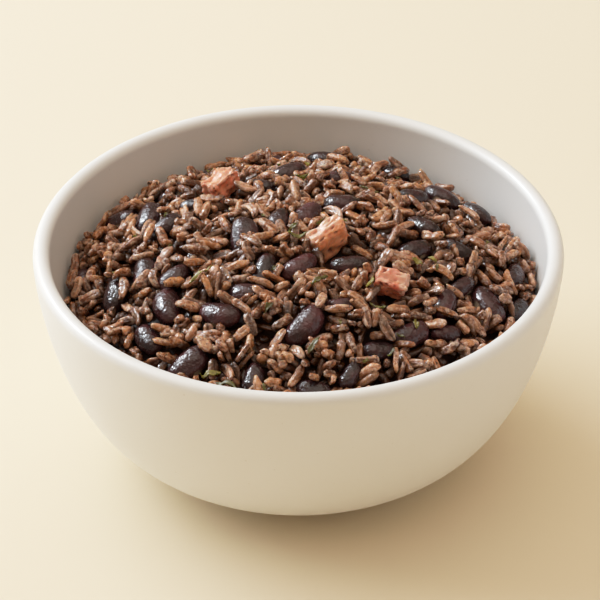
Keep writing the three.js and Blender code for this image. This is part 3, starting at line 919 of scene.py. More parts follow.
class Packing:
    """Round-ended rods that push one another apart; the last of them, the toppings, stay where they are."""

    longest_push = 0.6 * MM
    longest_drop = 1.0 * MM
    wall_gap = 0.25 * MM
    turning = 2.2    # how hard a rod is to turn, in its own radii

    def __init__(self, middles, axes, reaches, radii, loose):
        self.middles, self.axes, self.reaches, self.radii = middles, axes, reaches, radii
        self.loose = loose

    def find_pairs(self, margin, batch=200):
        """Rods that are near enough to touch within the next steps."""
        extent = self.reaches + self.radii + margin / 2
        count = len(self.radii)
        firsts, seconds = [], []
        for start in range(0, self.loose, batch):
            rows = np.arange(start, min(start + batch, self.loose))
            apart = self.middles[rows, None] - self.middles[None]
            near = (apart ** 2).sum(2) < (extent[rows, None] + extent[None]) ** 2
            near &= np.arange(count)[None] > rows[:, None]
            first, second = np.nonzero(near)
            firsts.append(rows[first])
            seconds.append(second)
        return np.concatenate(firsts), np.concatenate(seconds)

    def push(self, rods, places, moves):
        """Moves rods at places along them, which shifts and turns them."""
        lever = places / (self.reaches[rods] ** 2 + (self.turning * self.radii[rods]) ** 2)
        turns = moves * lever[:, None]
        for target, values in ((self.middles, moves), (self.axes, turns)):
            for k in range(3):
                target[:self.loose, k] += np.bincount(rods, values[:, k], len(self.radii))[:self.loose]

    def normalise(self):
        """Makes the axes one long again."""
        self.axes /= np.linalg.norm(self.axes, axis=1, keepdims=True)

    def separate(self, pairs, closeness, share):
        """Pushes overlapping rods apart."""
        first, second = pairs
        place_1, place_2 = closest_places(
            self.middles[first], self.axes[first], self.reaches[first],
            self.middles[second], self.axes[second], self.reaches[second])
        point_1 = self.middles[first] + self.axes[first] * place_1[:, None]
        point_2 = self.middles[second] + self.axes[second] * place_2[:, None]
        apart = point_1 - point_2
        distance = np.linalg.norm(apart, axis=1)
        fixed = second >= self.loose
        wanted = (self.radii[first] + self.radii[second]) * np.where(fixed, 1.0, closeness)
        overlap = np.clip(wanted - distance, 0, self.longest_push)
        touching = overlap > 0
        way = apart[touching] / np.maximum(distance[touching], 1e-7)[:, None]
        move = way * (share * overlap[touching] * (1 + fixed[touching]))[:, None]
        self.push(first[touching], place_1[touching], move)
        self.push(second[touching], place_2[touching], -move)

    def contain(self, bowl, ceiling, allowance, share):
        """Keeps the ends of loose rods inside the wall, and their tops near the surface."""
        rods = np.arange(self.loose)
        for side in (-1, 0, 1):
            places = side * self.reaches[:self.loose]
            points = self.middles[:self.loose] + self.axes[:self.loose] * places[:, None]
            radius = self.radii[:self.loose]
            over = points[:, 2] + radius - ceiling(points[:, 0], points[:, 1]) - allowance
            move = np.zeros_like(points)
            move[:, 2] -= share * np.clip(over, 0, self.longest_drop)
            across = np.hypot(points[:, 0], points[:, 1])
            room = inner_radius(bowl, points[:, 2] - 0.5 * radius) - radius - self.wall_gap
            out = np.clip(across - room, 0, None)
            move[:, :2] -= points[:, :2] / np.maximum(across, 1e-6)[:, None] * out[:, None]
            self.push(rods, places, move)

    def replace_toppings(self, middles, axes, reaches, radii):
        """Leaves out the toppings, and adds more loose rods."""
        def joined(values, more):
            return np.concatenate([values[:self.loose], more])

        self.middles, self.axes = joined(self.middles, middles), joined(self.axes, axes)
        self.reaches, self.radii = joined(self.reaches, reaches), joined(self.radii, radii)


class TopMap:
    """The highest thing over each cell of a fine grid: its height, and its number."""

    cell = 0.4 * MM

    def __init__(self):
        self.half = BOWL_HIGH.x
        self.count = int(2 * self.half / self.cell)
        self.ticks = -self.half + (np.arange(self.count) + 0.5) * self.cell
        self.height = np.zeros((self.count, self.count))
        self.owner = np.full((self.count, self.count), -1)

    def index(self, value):
        """Grid index of a coordinate, kept inside the grid."""
        return np.clip(((np.asarray(value) + self.half) / self.cell).astype(int), 0, self.count - 1)

    def add_rod(self, number, middle, axis, reach, radius):
        """Lays a round-ended rod into the map as a row of balls."""
        for place in np.linspace(-reach, reach, 2 + int(2 * reach / (0.7 * radius))):
            x, y, z = middle + axis * place
            columns, rows = self.index([x - radius, x + radius]), self.index([y - radius, y + radius])
            window = (slice(rows[0], rows[1] + 1), slice(columns[0], columns[1] + 1))
            square = ((self.ticks[window[1]][None] - x) ** 2 + (self.ticks[window[0]][:, None] - y) ** 2)
            top = z + np.sqrt(np.maximum(radius ** 2 - square, 0))
            higher = (square < radius ** 2) & (top > self.height[window])
            self.height[window] = np.where(higher, top, self.height[window])
            self.owner[window] = np.where(higher, number, self.owner[window])

    def at(self, x, y):
        """Height over places."""
        return self.height[self.index(y), self.index(x)]

    def widen(self, cells):
        """Raises each cell to the highest one round it."""
        for _ in range(cells):
            self.height = np.maximum.reduce([np.roll(self.height, (a, b), (0, 1))
                                             for a in (-1, 0, 1) for b in (-1, 0, 1)])

    def smooth(self, passes):
        """Evens the heights out a little, so that what lies on them does not jump."""
        for _ in range(passes):
            padded = np.pad(self.height, 1, mode="edge")
            self.height = (padded[:-2, 1:-1] + padded[2:, 1:-1] + padded[1:-1, :-2] + padded[1:-1, 2:]
                           + 2 * self.height) / 6


def bean_rods():
    """Round-ended rods that fill the beans, two side by side in each."""
    rods = []
    for name in nodes_named("bean_"):
        middle, axes, half = bean_frame(name)
        spread = max(half[1] - half[2], 0)
        for side in (-1, 1):
            rods.append((middle + side * spread * axes[1], axes[0], half[0] - half[2], half[2]))
    return rods


def ham_balls(steps=9, smallest=1.2 * MM):
    """Balls, as rods of no length, that fill the pieces of ham."""
    balls = []
    shares = np.stack(np.meshgrid(*[np.linspace(-1, 1, steps)] * 3), -1).reshape(-1, 3)
    for name in nodes_named("ham_"):
        mesh = frame["nodes"][name].data
        tree = BVHTree.FromPolygons([vertex.co for vertex in mesh.vertices],
                                    [tuple(face.vertices) for face in mesh.polygons])
        points = node_points(name)
        middle = points.mean(0)
        span = np.abs(points - middle).max(0)
        for centre in middle + shares * span:
            place, normal, _, distance = tree.find_nearest(Vector(centre))
            inside = (Vector(centre) - place).dot(normal) < 0
            if inside and distance > smallest:
                balls.append((centre, np.array([1.0, 0, 0]), 0.0, distance))
    return balls


# ---- Rice ------------------------------------------------------------------------

class Kind(NamedTuple):
    """A kind of grain: its share of them all, and the ranges that its shape is drawn from."""
    share: float
    length: tuple[float, float]    # as a share of a whole grain's
    blunt: tuple[float, float]     # how blunt its ends are
    groove: tuple[float, float]    # depth of the split along it
    curl: float                    # how far it bends, as a share of half its length
    opened: float                  # how much of the pale inside shows


KINDS = {
    "plump": Kind(0.20, (0.74, 1.05), (2.4, 4.4), (0.0, 0.25), 0.10, 0.1),
    "slender": Kind(0.12, (0.90, 1.15), (2.0, 3.6), (0.05, 0.3), 0.16, 0.2),
    "split": Kind(0.22, (0.75, 1.10), (2.6, 5.5), (0.42, 0.72), 0.16, 0.9),
    "curled": Kind(0.12, (0.80, 1.10), (2.4, 4.4), (0.1, 0.5), 0.46, 0.4),
    "broken": Kind(0.17, (0.50, 0.80), (3.0, 8.0), (0.0, 0.5), 0.10, 0.5),
    "nub": Kind(0.17, (0.36, 0.55), (2.4, 5.0), (0.0, 0.4), 0.0, 0.3),
}
SLENDER_WIDTH = 0.86            # as a share of the other kinds' width
ROD_SHARE = 0.93                # radius of a grain's rod, as a share of half its width
SHORTEST_REACH = 0.1 * MM


class RICEBOWL_OT_rice(Operator):
    """Add the rice: grains packed at random between the toppings, then the loose ones"""
    bl_idname = "rice_bowl.rice"
    bl_label = "Add Rice"

    rings = 12
    sides = 12
    least_seen = 4                             # cells of the top map; grains that show less are left out
    wave_lengths = (8, 18)                     # of the heap's lumps, in mm
    hollow_place = np.array([2.5, -4.5]) * MM  # from the middle of a piece of ham
    hollow_width = 5 * MM
    bank_width = 7 * MM
    dip_place = (12 * MM, 57 * MM)
    dip_width = (20 * MM, 14 * MM)
    dip_share = 0.9
    lay_size = 7 * MM                          # grains this near one another lie the same way
    pack_steps = 150
    settle_steps = 20
    tries = 10
    drop_slopes = np.radians([-35, -20, -8, 0, 8, 20, 35])
    most_proud = 2.7 * MM

    def execute(self, context):
        bowl, heap, rice = context.scene.bowl, context.scene.heap, context.scene.rice
        random = np.random.default_rng(rice.seed)
        packing, kind_of, widths = self.pack(bowl, heap, rice, random)
        top_map = TopMap()
        for number, rod in enumerate(zip(packing.middles, packing.axes, packing.reaches, packing.radii)):
            top_map.add_rod(number, *rod)
        first_dropped = len(packing.radii)
        *rods, kinds, more_widths = zip(*self.drop_grains(bowl, heap, rice, top_map, packing, random))
        packing.replace_toppings(*rods)
        kind_of, widths = np.concatenate([kind_of, kinds]), np.concatenate([widths, more_widths])

        seen = np.bincount(top_map.owner[top_map.owner >= 0], minlength=first_dropped + len(kinds))
        seen = np.concatenate([seen[:packing.loose], seen[first_dropped:]])
        deep = heap_top(bowl, heap, packing.middles[:, 0], packing.middles[:, 1]) - packing.middles[:, 2]
        # The top map, widened and smoothed, tells how deep each vertex lies for the painted shade.
        top_map.widen(4)
        top_map.smooth(8)
        material = rice_material(rice)
        for kind in KINDS:
            chosen = np.nonzero((kind_of == kind) & (seen > self.least_seen))[0]
            self.add_kind(rice, packing, chosen, kind, widths[chosen], deep[chosen],
                          top_map, random, material)
        return {"FINISHED"}

    # Where the grains lie.

    def ceiling(self, bowl, heap, rice, random):
        """The lumpy surface that the tops of the grains reach, as a function of the place."""
        waves = [(2 * math.pi / (random.uniform(*self.wave_lengths) * MM),
                  random.uniform(0, 6.3), random.uniform(0, 6.3)) for _ in range(9)]
        at_beans = [bean_frame(name)[0][:2] for name in nodes_named("bean_")]
        before_ham = [node_points(name).mean(0)[:2] + self.hollow_place for name in nodes_named("ham_")]
        (dip_x, dip_y), (dip_across, dip_along) = self.dip_place, self.dip_width

        def rounds(x, y, places, width):
            return sum(np.exp(-((x - a) ** 2 + (y - b) ** 2) / width ** 2) for a, b in places)

        def height(x, y):
            lumps = sum(np.sin(pitch * (x * math.cos(turn) + y * math.sin(turn)) + phase)
                        for pitch, turn, phase in waves)
            middle = 1 - np.clip(np.hypot(x, y) / inner_radius(bowl, heap.contact), 0, 1) ** 4
            hollows = rounds(x, y, before_ham, self.hollow_width)
            dip = np.exp(-((x - dip_x) / dip_across) ** 2 - ((y - dip_y) / dip_along) ** 2)
            banks = rounds(x, y, at_beans, self.bank_width)
            return (heap_top(bowl, heap, x, y) + rice.lumps / 2 * lumps + rice.lift * middle
                    - rice.bank * np.clip(banks, 0, 1) - rice.hollow * (hollows + self.dip_share * dip))

        return height

    def pack(self, bowl, heap, rice, random):
        """Grains at random in the top layer of the heap, pushed apart until they hardly cross."""
        count = rice.count
        kind_of = random.choice(list(KINDS), count, p=[kind.share for kind in KINDS.values()])
        shortest, longest = np.array([KINDS[kind].length for kind in kind_of]).T
        half = rice.length / 2 * random.uniform(shortest, longest)
        slim = np.where(kind_of == "slender", SLENDER_WIDTH, 1.0)
        widths = rice.width / 2 * random.uniform(0.86, 1.12, count) * slim
        radii = ROD_SHARE * widths
        reaches = np.maximum(half - radii, SHORTEST_REACH)
        ceiling = self.ceiling(bowl, heap, rice, random)

        wall = inner_radius(bowl, heap.contact)
        across = (wall - 1 * MM) * np.sqrt(random.uniform(0, 1, count))
        around = random.uniform(0, 2 * math.pi, count)
        in_gap = np.exp(-((around - heap.gap_angle) / (1.6 * heap.gap_width)) ** 2)
        at_wall = random.uniform(0, 1, count) < 0.09 + 0.3 * in_gap
        across[at_wall] = wall - random.uniform(0.5, 3.5, at_wall.sum()) * MM
        x, y = across * np.cos(around), across * np.sin(around)
        z = ceiling(x, y) - radii - heap.layer * random.uniform(0, 1, count)
        axes = random.normal(0, 1, (count, 3)) * np.array([1, 1, rice.tumble])
        lay = 9 * noise_at(np.stack([x, y, np.zeros(count)], 1), self.lay_size)
        axes[:, 0] += rice.bundled * np.cos(lay)
        axes[:, 1] += rice.bundled * np.sin(lay)

        grains = (np.stack([x, y, z], 1), axes, reaches, radii)
        toppings = zip(*bean_rods(), *ham_balls())
        packing = Packing(*(np.concatenate([own, more]) for own, more in zip(grains, toppings)), count)
        packing.normalise()
        stands_out = random.uniform(0, 1, count) < 0.2
        allowance = np.where(stands_out, random.uniform(0.4, 2.0, count),
                             random.uniform(-1.2, 0.5, count)) * MM
        for step in range(self.pack_steps):
            if step % 8 == 0:
                pairs = packing.find_pairs(2.4 * MM)
            packing.separate(pairs, rice.closeness, 0.45)
            settling = step < self.pack_steps - self.settle_steps
            packing.contain(bowl, ceiling, allowance, 0.25 if settling else 0.0)
            packing.normalise()
        return packing, kind_of, widths

    def drop_grains(self, bowl, heap, rice, top_map, packing, random):
        """Loose grains dropped one by one where they rest lowest, some of them across the beans' edges."""
        first_ham = packing.loose + 2 * len(nodes_named("bean_"))
        after_ham = len(packing.radii)
        beans = packing.middles[packing.loose:first_ham]
        made = []
        for number in range(rice.sprinkled):
            kind = random.choice(list(KINDS))
            half = rice.length / 2 * random.uniform(*KINDS[kind].length)
            width = rice.width / 2 * random.uniform(0.86, 1.1)
            radius = ROD_SHARE * width
            reach = max(half - radius, SHORTEST_REACH)
            x, y, turn = self.drop_places(bowl, heap, number, beans, random)

            # Each try is leaned at each slope: the arrays' first two axes. The third is along the grain.
            way = np.stack(np.broadcast_arrays(
                np.cos(turn)[:, None] * np.cos(self.drop_slopes),
                np.sin(turn)[:, None] * np.cos(self.drop_slopes), np.sin(self.drop_slopes)), -1)
            places = reach * np.linspace(-1, 1, 7)
            over_x = x[:, None, None] + way[:, :, None, 0] * places
            over_y = y[:, None, None] + way[:, :, None, 1] * places
            rise = way[:, :, None, 2] * places
            z = (top_map.at(over_x, over_y) - rise).max(2) + radius - rice.sink
            best = z.argmin(1)
            rest = z[np.arange(self.tries), best]
            proud = rest - heap_top(bowl, heap, x, y) + random.uniform(0, 1.5, self.tries) * MM

            owners = top_map.owner[top_map.index(over_y), top_map.index(over_x)]
            on_ham = ((owners >= first_ham) & (owners < after_ham)).any((1, 2))
            wall = inner_radius(bowl, z[:, :, None] + rise - 0.5 * width)
            in_wall = np.hypot(over_x, over_y) + width + 0.3 * MM > wall
            proud[on_ham | in_wall[np.arange(self.tries), best].any(1)] = np.inf
            lowest = int(proud.argmin())
            if proud[lowest] > self.most_proud:
                continue
            axis = way[lowest, best[lowest]]
            middle = np.array([x[lowest], y[lowest], rest[lowest]])
            top_map.add_rod(len(packing.radii) + len(made), middle, axis, reach, radius)
            made.append((middle, axis, reach, radius, kind, width))
        return made

    def drop_places(self, bowl, heap, number, beans, random):
        """Places and turns to try: of five grains two lie by a bean, one along the wall and two anywhere."""
        tries = self.tries
        by_bean, by_wall = number % 5 in (1, 4), number % 5 == 3
        around = random.uniform(0, 6.3, tries)
        wall = inner_radius(bowl, contact_height(heap, around))
        middle_x = middle_y = 0.0
        if by_bean:
            middle_x, middle_y, _ = beans[random.integers(0, len(beans), tries)].T
            away = random.uniform(4.5, 7.5, tries) * MM
        elif by_wall:
            away = wall - random.uniform(1.6, 5, tries) * MM
        else:
            away = wall * np.sqrt(random.uniform(0, 1, tries))
        turn = random.uniform(0, math.pi, tries)
        if by_wall:
            turn = around + math.pi / 2 + random.normal(0, 0.4, tries)
        return middle_x + away * np.cos(around), middle_y + away * np.sin(around), turn

    # What the grains look like.

    def add_kind(self, rice, packing, chosen, kind, widths, deep, cover, random, material):
        """One piece of all the grains of a kind."""
        half = packing.reaches[chosen] + packing.radii[chosen]
        local, (tone, painted_shade, inside, cast), along = self.shapes(kind, half, widths, deep, random)
        axis = packing.axes[chosen]
        side = np.cross(axis, [0.0, 0.0, 1.0]) + 1e-6
        side /= np.linalg.norm(side, axis=1, keepdims=True)
        up = np.cross(side, axis)
        up *= np.sign(up[:, 2:] + 1e-9)
        roll = random.normal(0, 0.7 if kind == "split" else 1.4, len(chosen))[:, None]
        up = up * np.cos(roll) - side * np.sin(roll)
        side = np.cross(up, axis)
        points = packing.middles[chosen][:, None] + local @ np.stack([axis, side, up], 1)
        below = (cover.at(points[:, :, 0], points[:, :, 1]) - points[:, :, 2]) / MM
        # Painted shade: each vertex darkens the further it lies under the widened top of the food.
        painted_shade = np.clip(painted_shade + rice.shade * np.clip((below - 1.1) / 2.6, 0, 1), 0, 1)

        mesh = joined_mesh("rice_" + kind, points, tube_faces(self.rings, self.sides))
        set_tint(mesh, tone, painted_shade, inside, cast)
        corners = np.zeros(len(mesh.loops), np.int32)
        mesh.loops.foreach_get("vertex_index", corners)
        layer = mesh.uv_layers.new(name="along")
        layer.data.foreach_set("uv", along.reshape(-1, 2)[corners].astype(np.float32).ravel())
        finish_piece(new_object(mesh.name, mesh), material, "rice", "rice_heap")

    def wobble(self, draw, t, phi, waves):
        """Smooth random unevenness over each grain; waves are (along, round) numbers."""
        total = 0
        for length_way, round_way in waves:
            phase = draw(0, 6.3)
            tilt = length_way * draw(0.7, 1.3)
            total = total + np.sin(tilt * t + round_way * phi + phase) * draw(0.3, 1)
        return total

    def shapes(self, kind, half, width, deep, random):
        """Surface of each grain in its own axes, the channels of its tint, and its UV along the grain."""
        count = len(half)
        half, width, deep = half[:, None, None], width[:, None, None], deep[:, None, None]
        t = np.sin(np.linspace(-1, 1, self.rings + 2)[1:-1] * math.pi / 2)[None, :, None]
        phi = (2 * math.pi * np.arange(self.sides) / self.sides)[None, None, :]

        def draw(low, high):
            return random.uniform(low, high, (count, 1, 1))

        def per_vertex(values):
            """One value for each vertex; a pole takes its neighbour's."""
            rows = np.broadcast_to(values, (count, self.rings, self.sides)).reshape(count, -1)
            return np.concatenate([rows[:, :1], rows, rows[:, -1:]], 1)

        swell = (1 - np.abs(t) ** draw(*KINDS[kind].blunt)) ** 0.5 * (1 + draw(-0.15, 0.15) * t)
        bumps = self.bumps(t, phi, draw, random)
        groove, depth, lips, crack = self.split(kind, t, phi, draw)
        radial = np.maximum(1 + bumps - depth * groove + lips - crack, 0.45)
        local = self.body(kind, t, phi, half, width, swell * radial, draw)

        # Painted light and shade in the tone: raised ridges and lumps are lighter, bites darker.
        tone = draw(0.05, 1.0) + 0.10 * self.wobble(draw, t, phi, [(3, 0), (5, 1), (7, 2)]) + 1.8 * bumps
        # Painted shade: grains that lie deeper under the heap's top are darker, and so are their grooves.
        painted_shade = np.clip((deep / MM - 1.8) * 0.18, 0, 0.6) + 0.5 * groove * (depth > 0.1) * draw(0, 1)
        open_lips = 2.2 * lips * draw(0.2, 1.0)
        open_ends = 0.5 * (np.abs(t) > 0.8) * draw(0, 1)
        inside = KINDS[kind].opened * (open_lips + open_ends)
        cast = draw(0, 1)
        tint = [per_vertex(np.clip(channel, 0, 1)) for channel in (tone, painted_shade, inside, cast)]

        own = draw(0, 90)
        around = 2.6 * np.cos(phi + draw(0, 6.3)) + own
        along = half / MM * t * 0.22 + own
        return local, tint, np.stack([per_vertex(around), per_vertex(along)], -1)

    def bumps(self, t, phi, draw, random):
        """Ridges, lumps and bites of the skin, as shares of the grain's half width."""
        height = draw(0.05, 0.16)
        lobes = random.integers(3, 6, height.shape)
        ridges = height * np.cos(lobes * phi + draw(0, 6.3) + draw(-0.8, 0.8) * t)
        lumps = 0.052 * self.wobble(draw, t, phi, [(4, 0), (6, 1), (5, 2), (8, 1), (10, 3), (9, 4)])
        for bite in (0.5, 0.4, 0.35, 0.3, -0.4, -0.3, -0.25):
            turned = wrapped(phi - draw(0, 6.3))
            size = bite * draw(0, 1)
            place = (t - draw(-1, 1)) / draw(0.10, 0.26)
            lumps = lumps - size * np.exp(-place ** 2 - (turned / draw(0.35, 0.8)) ** 2)
        return ridges + lumps

    def split(self, kind, t, phi, draw):
        """The groove along each grain, its depth, its swollen lips, and a crack beside it."""
        groove_at = math.pi / 2 + draw(-0.5, 0.5)
        away = wrapped(phi - groove_at - draw(-0.45, 0.45) * t)
        toward_end = np.clip(0.75 + draw(-0.7, 0.7) * t, 0, 1)
        groove = np.exp(-(away / 0.36) ** 2) * toward_end
        depth = {name: draw(*other.groove) for name, other in KINDS.items()}[kind]
        lips = np.exp(-((np.abs(away) - 0.85) / 0.34) ** 2) * depth * 0.5 * toward_end
        crack = np.exp(-(wrapped(phi - groove_at - 2.2) / 0.3) ** 2) * draw(0, 0.18)
        return groove, depth, lips, crack

    def body(self, kind, t, phi, half, width, swell, draw):
        """Vertices of each grain in its own axes, with its ends cut and its length bent."""
        flat = draw(0.64, 0.96)
        x = half * t
        y, z = width * swell * np.cos(phi), width * flat * swell * np.sin(phi)
        for side in (-1, 1):
            cut = draw(0.55, 0.95) if kind == "broken" and side == 1 else draw(0.80, 1.25)
            slant = draw(-0.5, 0.5) * np.cos(phi) + draw(-0.5, 0.5) * np.sin(phi)
            jag = 0.06 * np.sin(5 * phi + draw(0, 6.3))
            x = side * np.minimum(side * x, half * (cut + jag) + width * slant * 0.8)
        curl = KINDS[kind].curl
        bow = (x / half) ** 2 - 0.33
        y = y + half * draw(-curl, curl) * bow
        z = z + half * draw(-0.6 * curl, 0.6 * curl) * bow
        rings = np.stack(np.broadcast_arrays(x, y, z), -1)
        first, last = (rings[:, row].mean(1, keepdims=True) * (1 - draw(0, 0.14)) for row in (0, -1))
        return np.concatenate([first, rings.reshape(len(rings), -1, 3), last], 1)


# ---- Herbs -----------------------------------------------------------------------

class RICEBOWL_OT_herbs(Operator):
    """Add the flecks of herb that lie on the heap"""
    bl_idname = "rice_bowl.herbs"
    bl_label = "Add Herbs"

    # Place, turn and length of each larger fleck, in mm and degrees.
    flecks = [
        (-25.5, -18, 48, 6.2), (5.5, -22, 25, 4.4), (0, -3.5, -10, 4.6), (20.5, -28.5, -20, 3.8),
        (-22.5, -46, 12, 4.4), (-18.5, -51, -38, 5.2), (1.5, 31, 42, 5.0), (18.5, -21, 70, 3.8),
        (4, -43.5, 60, 4.4), (19, 24, -15, 4.2),
    ]
    farthest = 54           # of a small fleck from the middle, in mm
    small = (1.2, 2.8)      # lengths of the small flecks, in mm
    steps = 9
    across = 5
    clinging = 0.55         # how closely a leaf follows what it lies on

    def execute(self, context):
        herbs = context.scene.herbs
        random = np.random.default_rng(herbs.seed)
        surface = self.surface(context)
        places = list(self.flecks)
        for _ in range(herbs.small_flecks):
            reach, around = self.farthest * math.sqrt(random.uniform()), random.uniform(0, 2 * math.pi)
            places.append((reach * math.cos(around), reach * math.sin(around),
                           random.uniform(0, 360), random.uniform(*self.small)))
        leaves, tones = [], []
        for x, y, turn, length in places:
            leaves.append(self.leaf(surface, herbs, x * MM, y * MM, math.radians(turn), length * MM, random))
            tones.append([random.uniform(0, 1) ** 1.5] * len(leaves[-1]))
        mesh = joined_mesh("herb_flecks", np.array(leaves), self.leaf_faces())
        set_tint(mesh, tones)
        finish_piece(new_object("herb_flecks", mesh), herb_material(herbs), "rice", "rice_heap")
        return {"FINISHED"}

    def surface(self, context):
        """Heights of the tops of all the food in the bowl."""
        top_map = TopMap()
        for obj in context.scene.objects:
            if obj.name.startswith("rice_") or obj.name.endswith(("_skin", "_cut")):
                points = mesh_points(obj.data)
                rows, columns = top_map.index(points[:, 1]), top_map.index(points[:, 0])
                np.maximum.at(top_map.height, (rows, columns), points[:, 2])
        top_map.widen(1)
        top_map.smooth(3)
        return top_map

    def leaf(self, surface, herbs, x, y, turn, length, random):
        """Both faces of a thin wavy leaf that lies over the grains."""
        s = np.linspace(-1, 1, self.steps)[:, None]
        w = np.linspace(-1, 1, self.across)[None, :]
        outline = (1 - np.abs(s) ** 2.2) ** 0.7 + 0.06
        notches = 1 + 0.22 * np.sin(random.uniform(5, 9) * s + random.uniform(0, 6))
        width = min(herbs.width, 0.5 * length) / 2 * outline * notches
        u = length / 2 * s + 0.12 * length * w * np.sin(2 * s)
        v = width * w + 0.1 * length * np.sin(1.6 * s + random.uniform(0, 6))
        place_x = x + u * math.cos(turn) - v * math.sin(turn)
        place_y = y + u * math.sin(turn) + v * math.cos(turn)
        drape = surface.at(place_x, place_y)
        level = self.clinging * drape + (1 - self.clinging) * drape.max()
        z = level + 0.35 * MM * w ** 2 + 0.2 * MM * np.sin(3 * s + random.uniform(0, 6)) + 0.12 * MM
        return np.concatenate([np.stack([place_x, place_y, z + side * herbs.thickness / 2], -1).reshape(-1, 3)
                               for side in (1, -1)])

    def leaf_faces(self):
        """Quads of both faces and of the thin edge round them."""
        steps, across = self.steps, self.across
        count = steps * across
        faces = []
        for i in range(steps - 1):
            for j in range(across - 1):
                a = i * across + j
                b = a + across
                faces.append((a, b, b + 1, a + 1))
                faces.append((count + a, count + a + 1, count + b + 1, count + b))
        rim = [(0, j) for j in range(across)] + [(i, across - 1) for i in range(1, steps)]
        rim += [(steps - 1, j) for j in range(across - 2, -1, -1)] + [(i, 0) for i in range(steps - 2, 0, -1)]
        for (i, j), (k, m) in zip(rim, rim[1:] + rim[:1]):
            a, b = i * across + j, k * across + m
            faces.append((a, b, count + b, count + a))
        return faces


# ---- Stage -----------------------------------------------------------------------

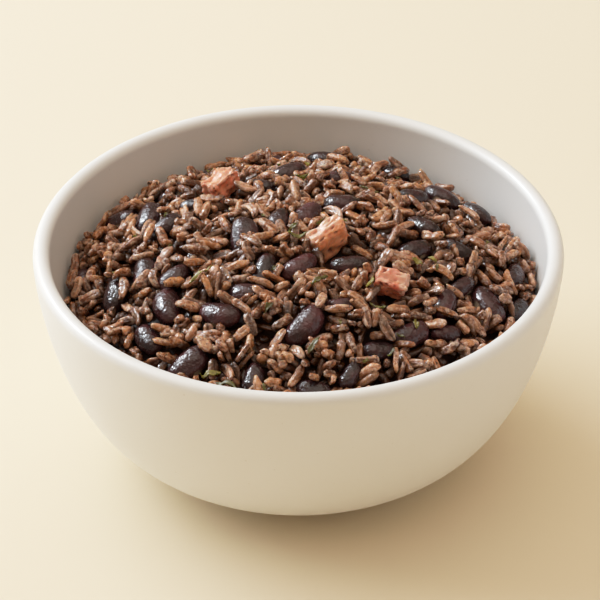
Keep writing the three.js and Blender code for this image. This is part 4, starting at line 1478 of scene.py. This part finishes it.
class RICEBOWL_OT_stage(Operator):
    """Add the tabletop, the soft light and the camera"""
    bl_idname = "rice_bowl.stage"
    bl_label = "Add Stage"

    # Light in the scene, and how bright it is shown.
    shoulder = [
        (0.1, 0.1), (0.25, 0.255), (0.5, 0.5), (0.8, 0.71), (1.12, 0.855), (1.35, 0.925), (1.8, 0.995),
    ]
    # Each lamp: its size in metres, its share of the key light's power, and its place.
    lamps = {
        "window": (1.2, 0.96, (-0.84, 0.52, 0.62)),
        "bright_sky": (0.20, 0.60, (-0.80, 0.53, 0.78)),
        "pale_wall": (1.0, 0.09, (1.2, -0.2, 0.4)),
    }
    lit_place = Vector((0, 0, 0.04))
    room_up = Vector((0.0, 0.08, 1.0))
    room_falloff = 6.0

    def execute(self, context):
        scene = context.scene
        stage = scene.stage
        self.floor(stage)
        for name, (size, share, place) in self.lamps.items():
            self.lamp(scene, stage, name, size, share, Vector(place))
        self.room(scene, stage)
        self.camera(scene, stage)
        self.film(scene)
        return {"FINISHED"}

    def film(self, scene):
        """Plain colours with a soft shoulder, so bright places keep their shading."""
        settings = scene.view_settings
        settings.view_transform = "Standard"
        settings.use_curve_mapping = True
        mapping = settings.curve_mapping
        brightest = self.shoulder[-1][0]
        mapping.white_level = (brightest, brightest, brightest)
        for light, shown in self.shoulder:
            mapping.curves[3].points.new(light / brightest, shown)
        mapping.update()

    def floor(self, stage):
        """A wide tabletop under the foot."""
        deselect_all()
        bpy.ops.mesh.primitive_plane_add(size=10.0, location=(0, 0, 0))
        plane = bpy.context.object
        plane.name = "tabletop"
        plane.data.materials.append(floor_material(stage))

    def lamp(self, scene, stage, name, size, share, place):
        """One soft light that faces the bowl; the bright sky only shows as glints on what is wet."""
        light = bpy.data.lights.new(name, "AREA")
        light.size = size
        light.energy = stage.key_power * share
        light.color = stage.key_colour
        lamp = bpy.data.objects.new(name, light)
        lamp.location = place
        lamp.rotation_euler = (self.lit_place - place).to_track_quat("-Z", "Y").to_euler()
        lamp.visible_diffuse = name != "bright_sky"
        scene.collection.objects.link(lamp)

    def room(self, scene, stage):
        """The warm light of the room, brightest at the ceiling."""
        world = bpy.data.worlds.new("room")
        world.use_nodes = True
        tree = world.node_tree
        way = tree.nodes.new("ShaderNodeTexCoord")
        toward = add_node(tree, "ShaderNodeVectorMath", operation="DOT_PRODUCT")
        toward.inputs[1].default_value = self.room_up.normalized()
        tree.links.new(way.outputs["Generated"], toward.inputs[0])
        rise = add_node(tree, "ShaderNodeMath", operation="POWER")
        rise.inputs[1].default_value = self.room_falloff
        tree.links.new(map_value(tree, toward.outputs["Value"], 0.0, 1.0), rise.inputs[0])
        share = rise.outputs[0]
        colour = mix_colours(tree, share, stage.low_colour, stage.high_colour)
        strength = map_value(tree, share, 0.0, 1.0, stage.low_strength, stage.high_strength)
        back = tree.nodes["Background"]
        tree.links.new(colour, back.inputs["Color"])
        tree.links.new(strength, back.inputs["Strength"])
        scene.world = world

    def camera(self, scene, stage):
        """Looks along +Y and down at the rim's middle."""
        data = bpy.data.cameras.new("view")
        data.lens = stage.lens
        data.sensor_width = 36.0
        data.clip_end = 20.0
        camera = bpy.data.objects.new("view", data)
        cosine, sine = math.cos(stage.elevation), math.sin(stage.elevation)
        forward = Vector((0, cosine, -sine))
        up = Vector((0, sine, cosine))
        aim = Vector((stage.aim_right, 0, BOWL_HIGH.z)) - up * stage.aim_down
        camera.location = aim - forward * stage.distance
        camera.rotation_euler = (math.pi / 2 - stage.elevation, 0, 0)
        scene.collection.objects.link(camera)
        scene.camera = camera


# ---- Panel and registration --------------------------------------------------------

OPERATORS = (RICEBOWL_OT_bowl, RICEBOWL_OT_core, RICEBOWL_OT_beans, RICEBOWL_OT_ham,
             RICEBOWL_OT_rice, RICEBOWL_OT_herbs, RICEBOWL_OT_stage)
SETTINGS = {"bowl": BowlSettings, "heap": HeapSettings, "rice": RiceSettings, "beans": BeanSettings,
            "ham": HamSettings, "herbs": HerbSettings, "stage": StageSettings}


class RICEBOWL_PT_panel(Panel):
    """Lists the pieces of the bowl in the sidebar"""
    bl_idname = "RICEBOWL_PT_panel"
    bl_label = "Bowl of Rice and Beans"
    bl_space_type = "VIEW_3D"
    bl_region_type = "UI"
    bl_category = "Rice Bowl"

    def draw(self, context):
        for operator in OPERATORS:
            self.layout.operator(operator.bl_idname)
        for name, group in SETTINGS.items():
            box = self.layout.box()
            for prop in group.__annotations__:
                box.prop(getattr(context.scene, name), prop)


def register():
    for cls in (*SETTINGS.values(), *OPERATORS, RICEBOWL_PT_panel):
        bpy.utils.register_class(cls)
    for name, group in SETTINGS.items():
        setattr(bpy.types.Scene, name, PointerProperty(type=group))


def unregister():
    for name in SETTINGS:
        delattr(bpy.types.Scene, name)
    for cls in reversed((*SETTINGS.values(), *OPERATORS, RICEBOWL_PT_panel)):
        bpy.utils.unregister_class(cls)


def main():
    register()
    bpy.ops.rice_bowl.bowl()
    bpy.ops.rice_bowl.core()
    bpy.ops.rice_bowl.beans()
    bpy.ops.rice_bowl.ham()
    bpy.ops.rice_bowl.rice()
    bpy.ops.rice_bowl.herbs()
    bpy.ops.rice_bowl.stage()


if __name__ == "__main__":
    main()
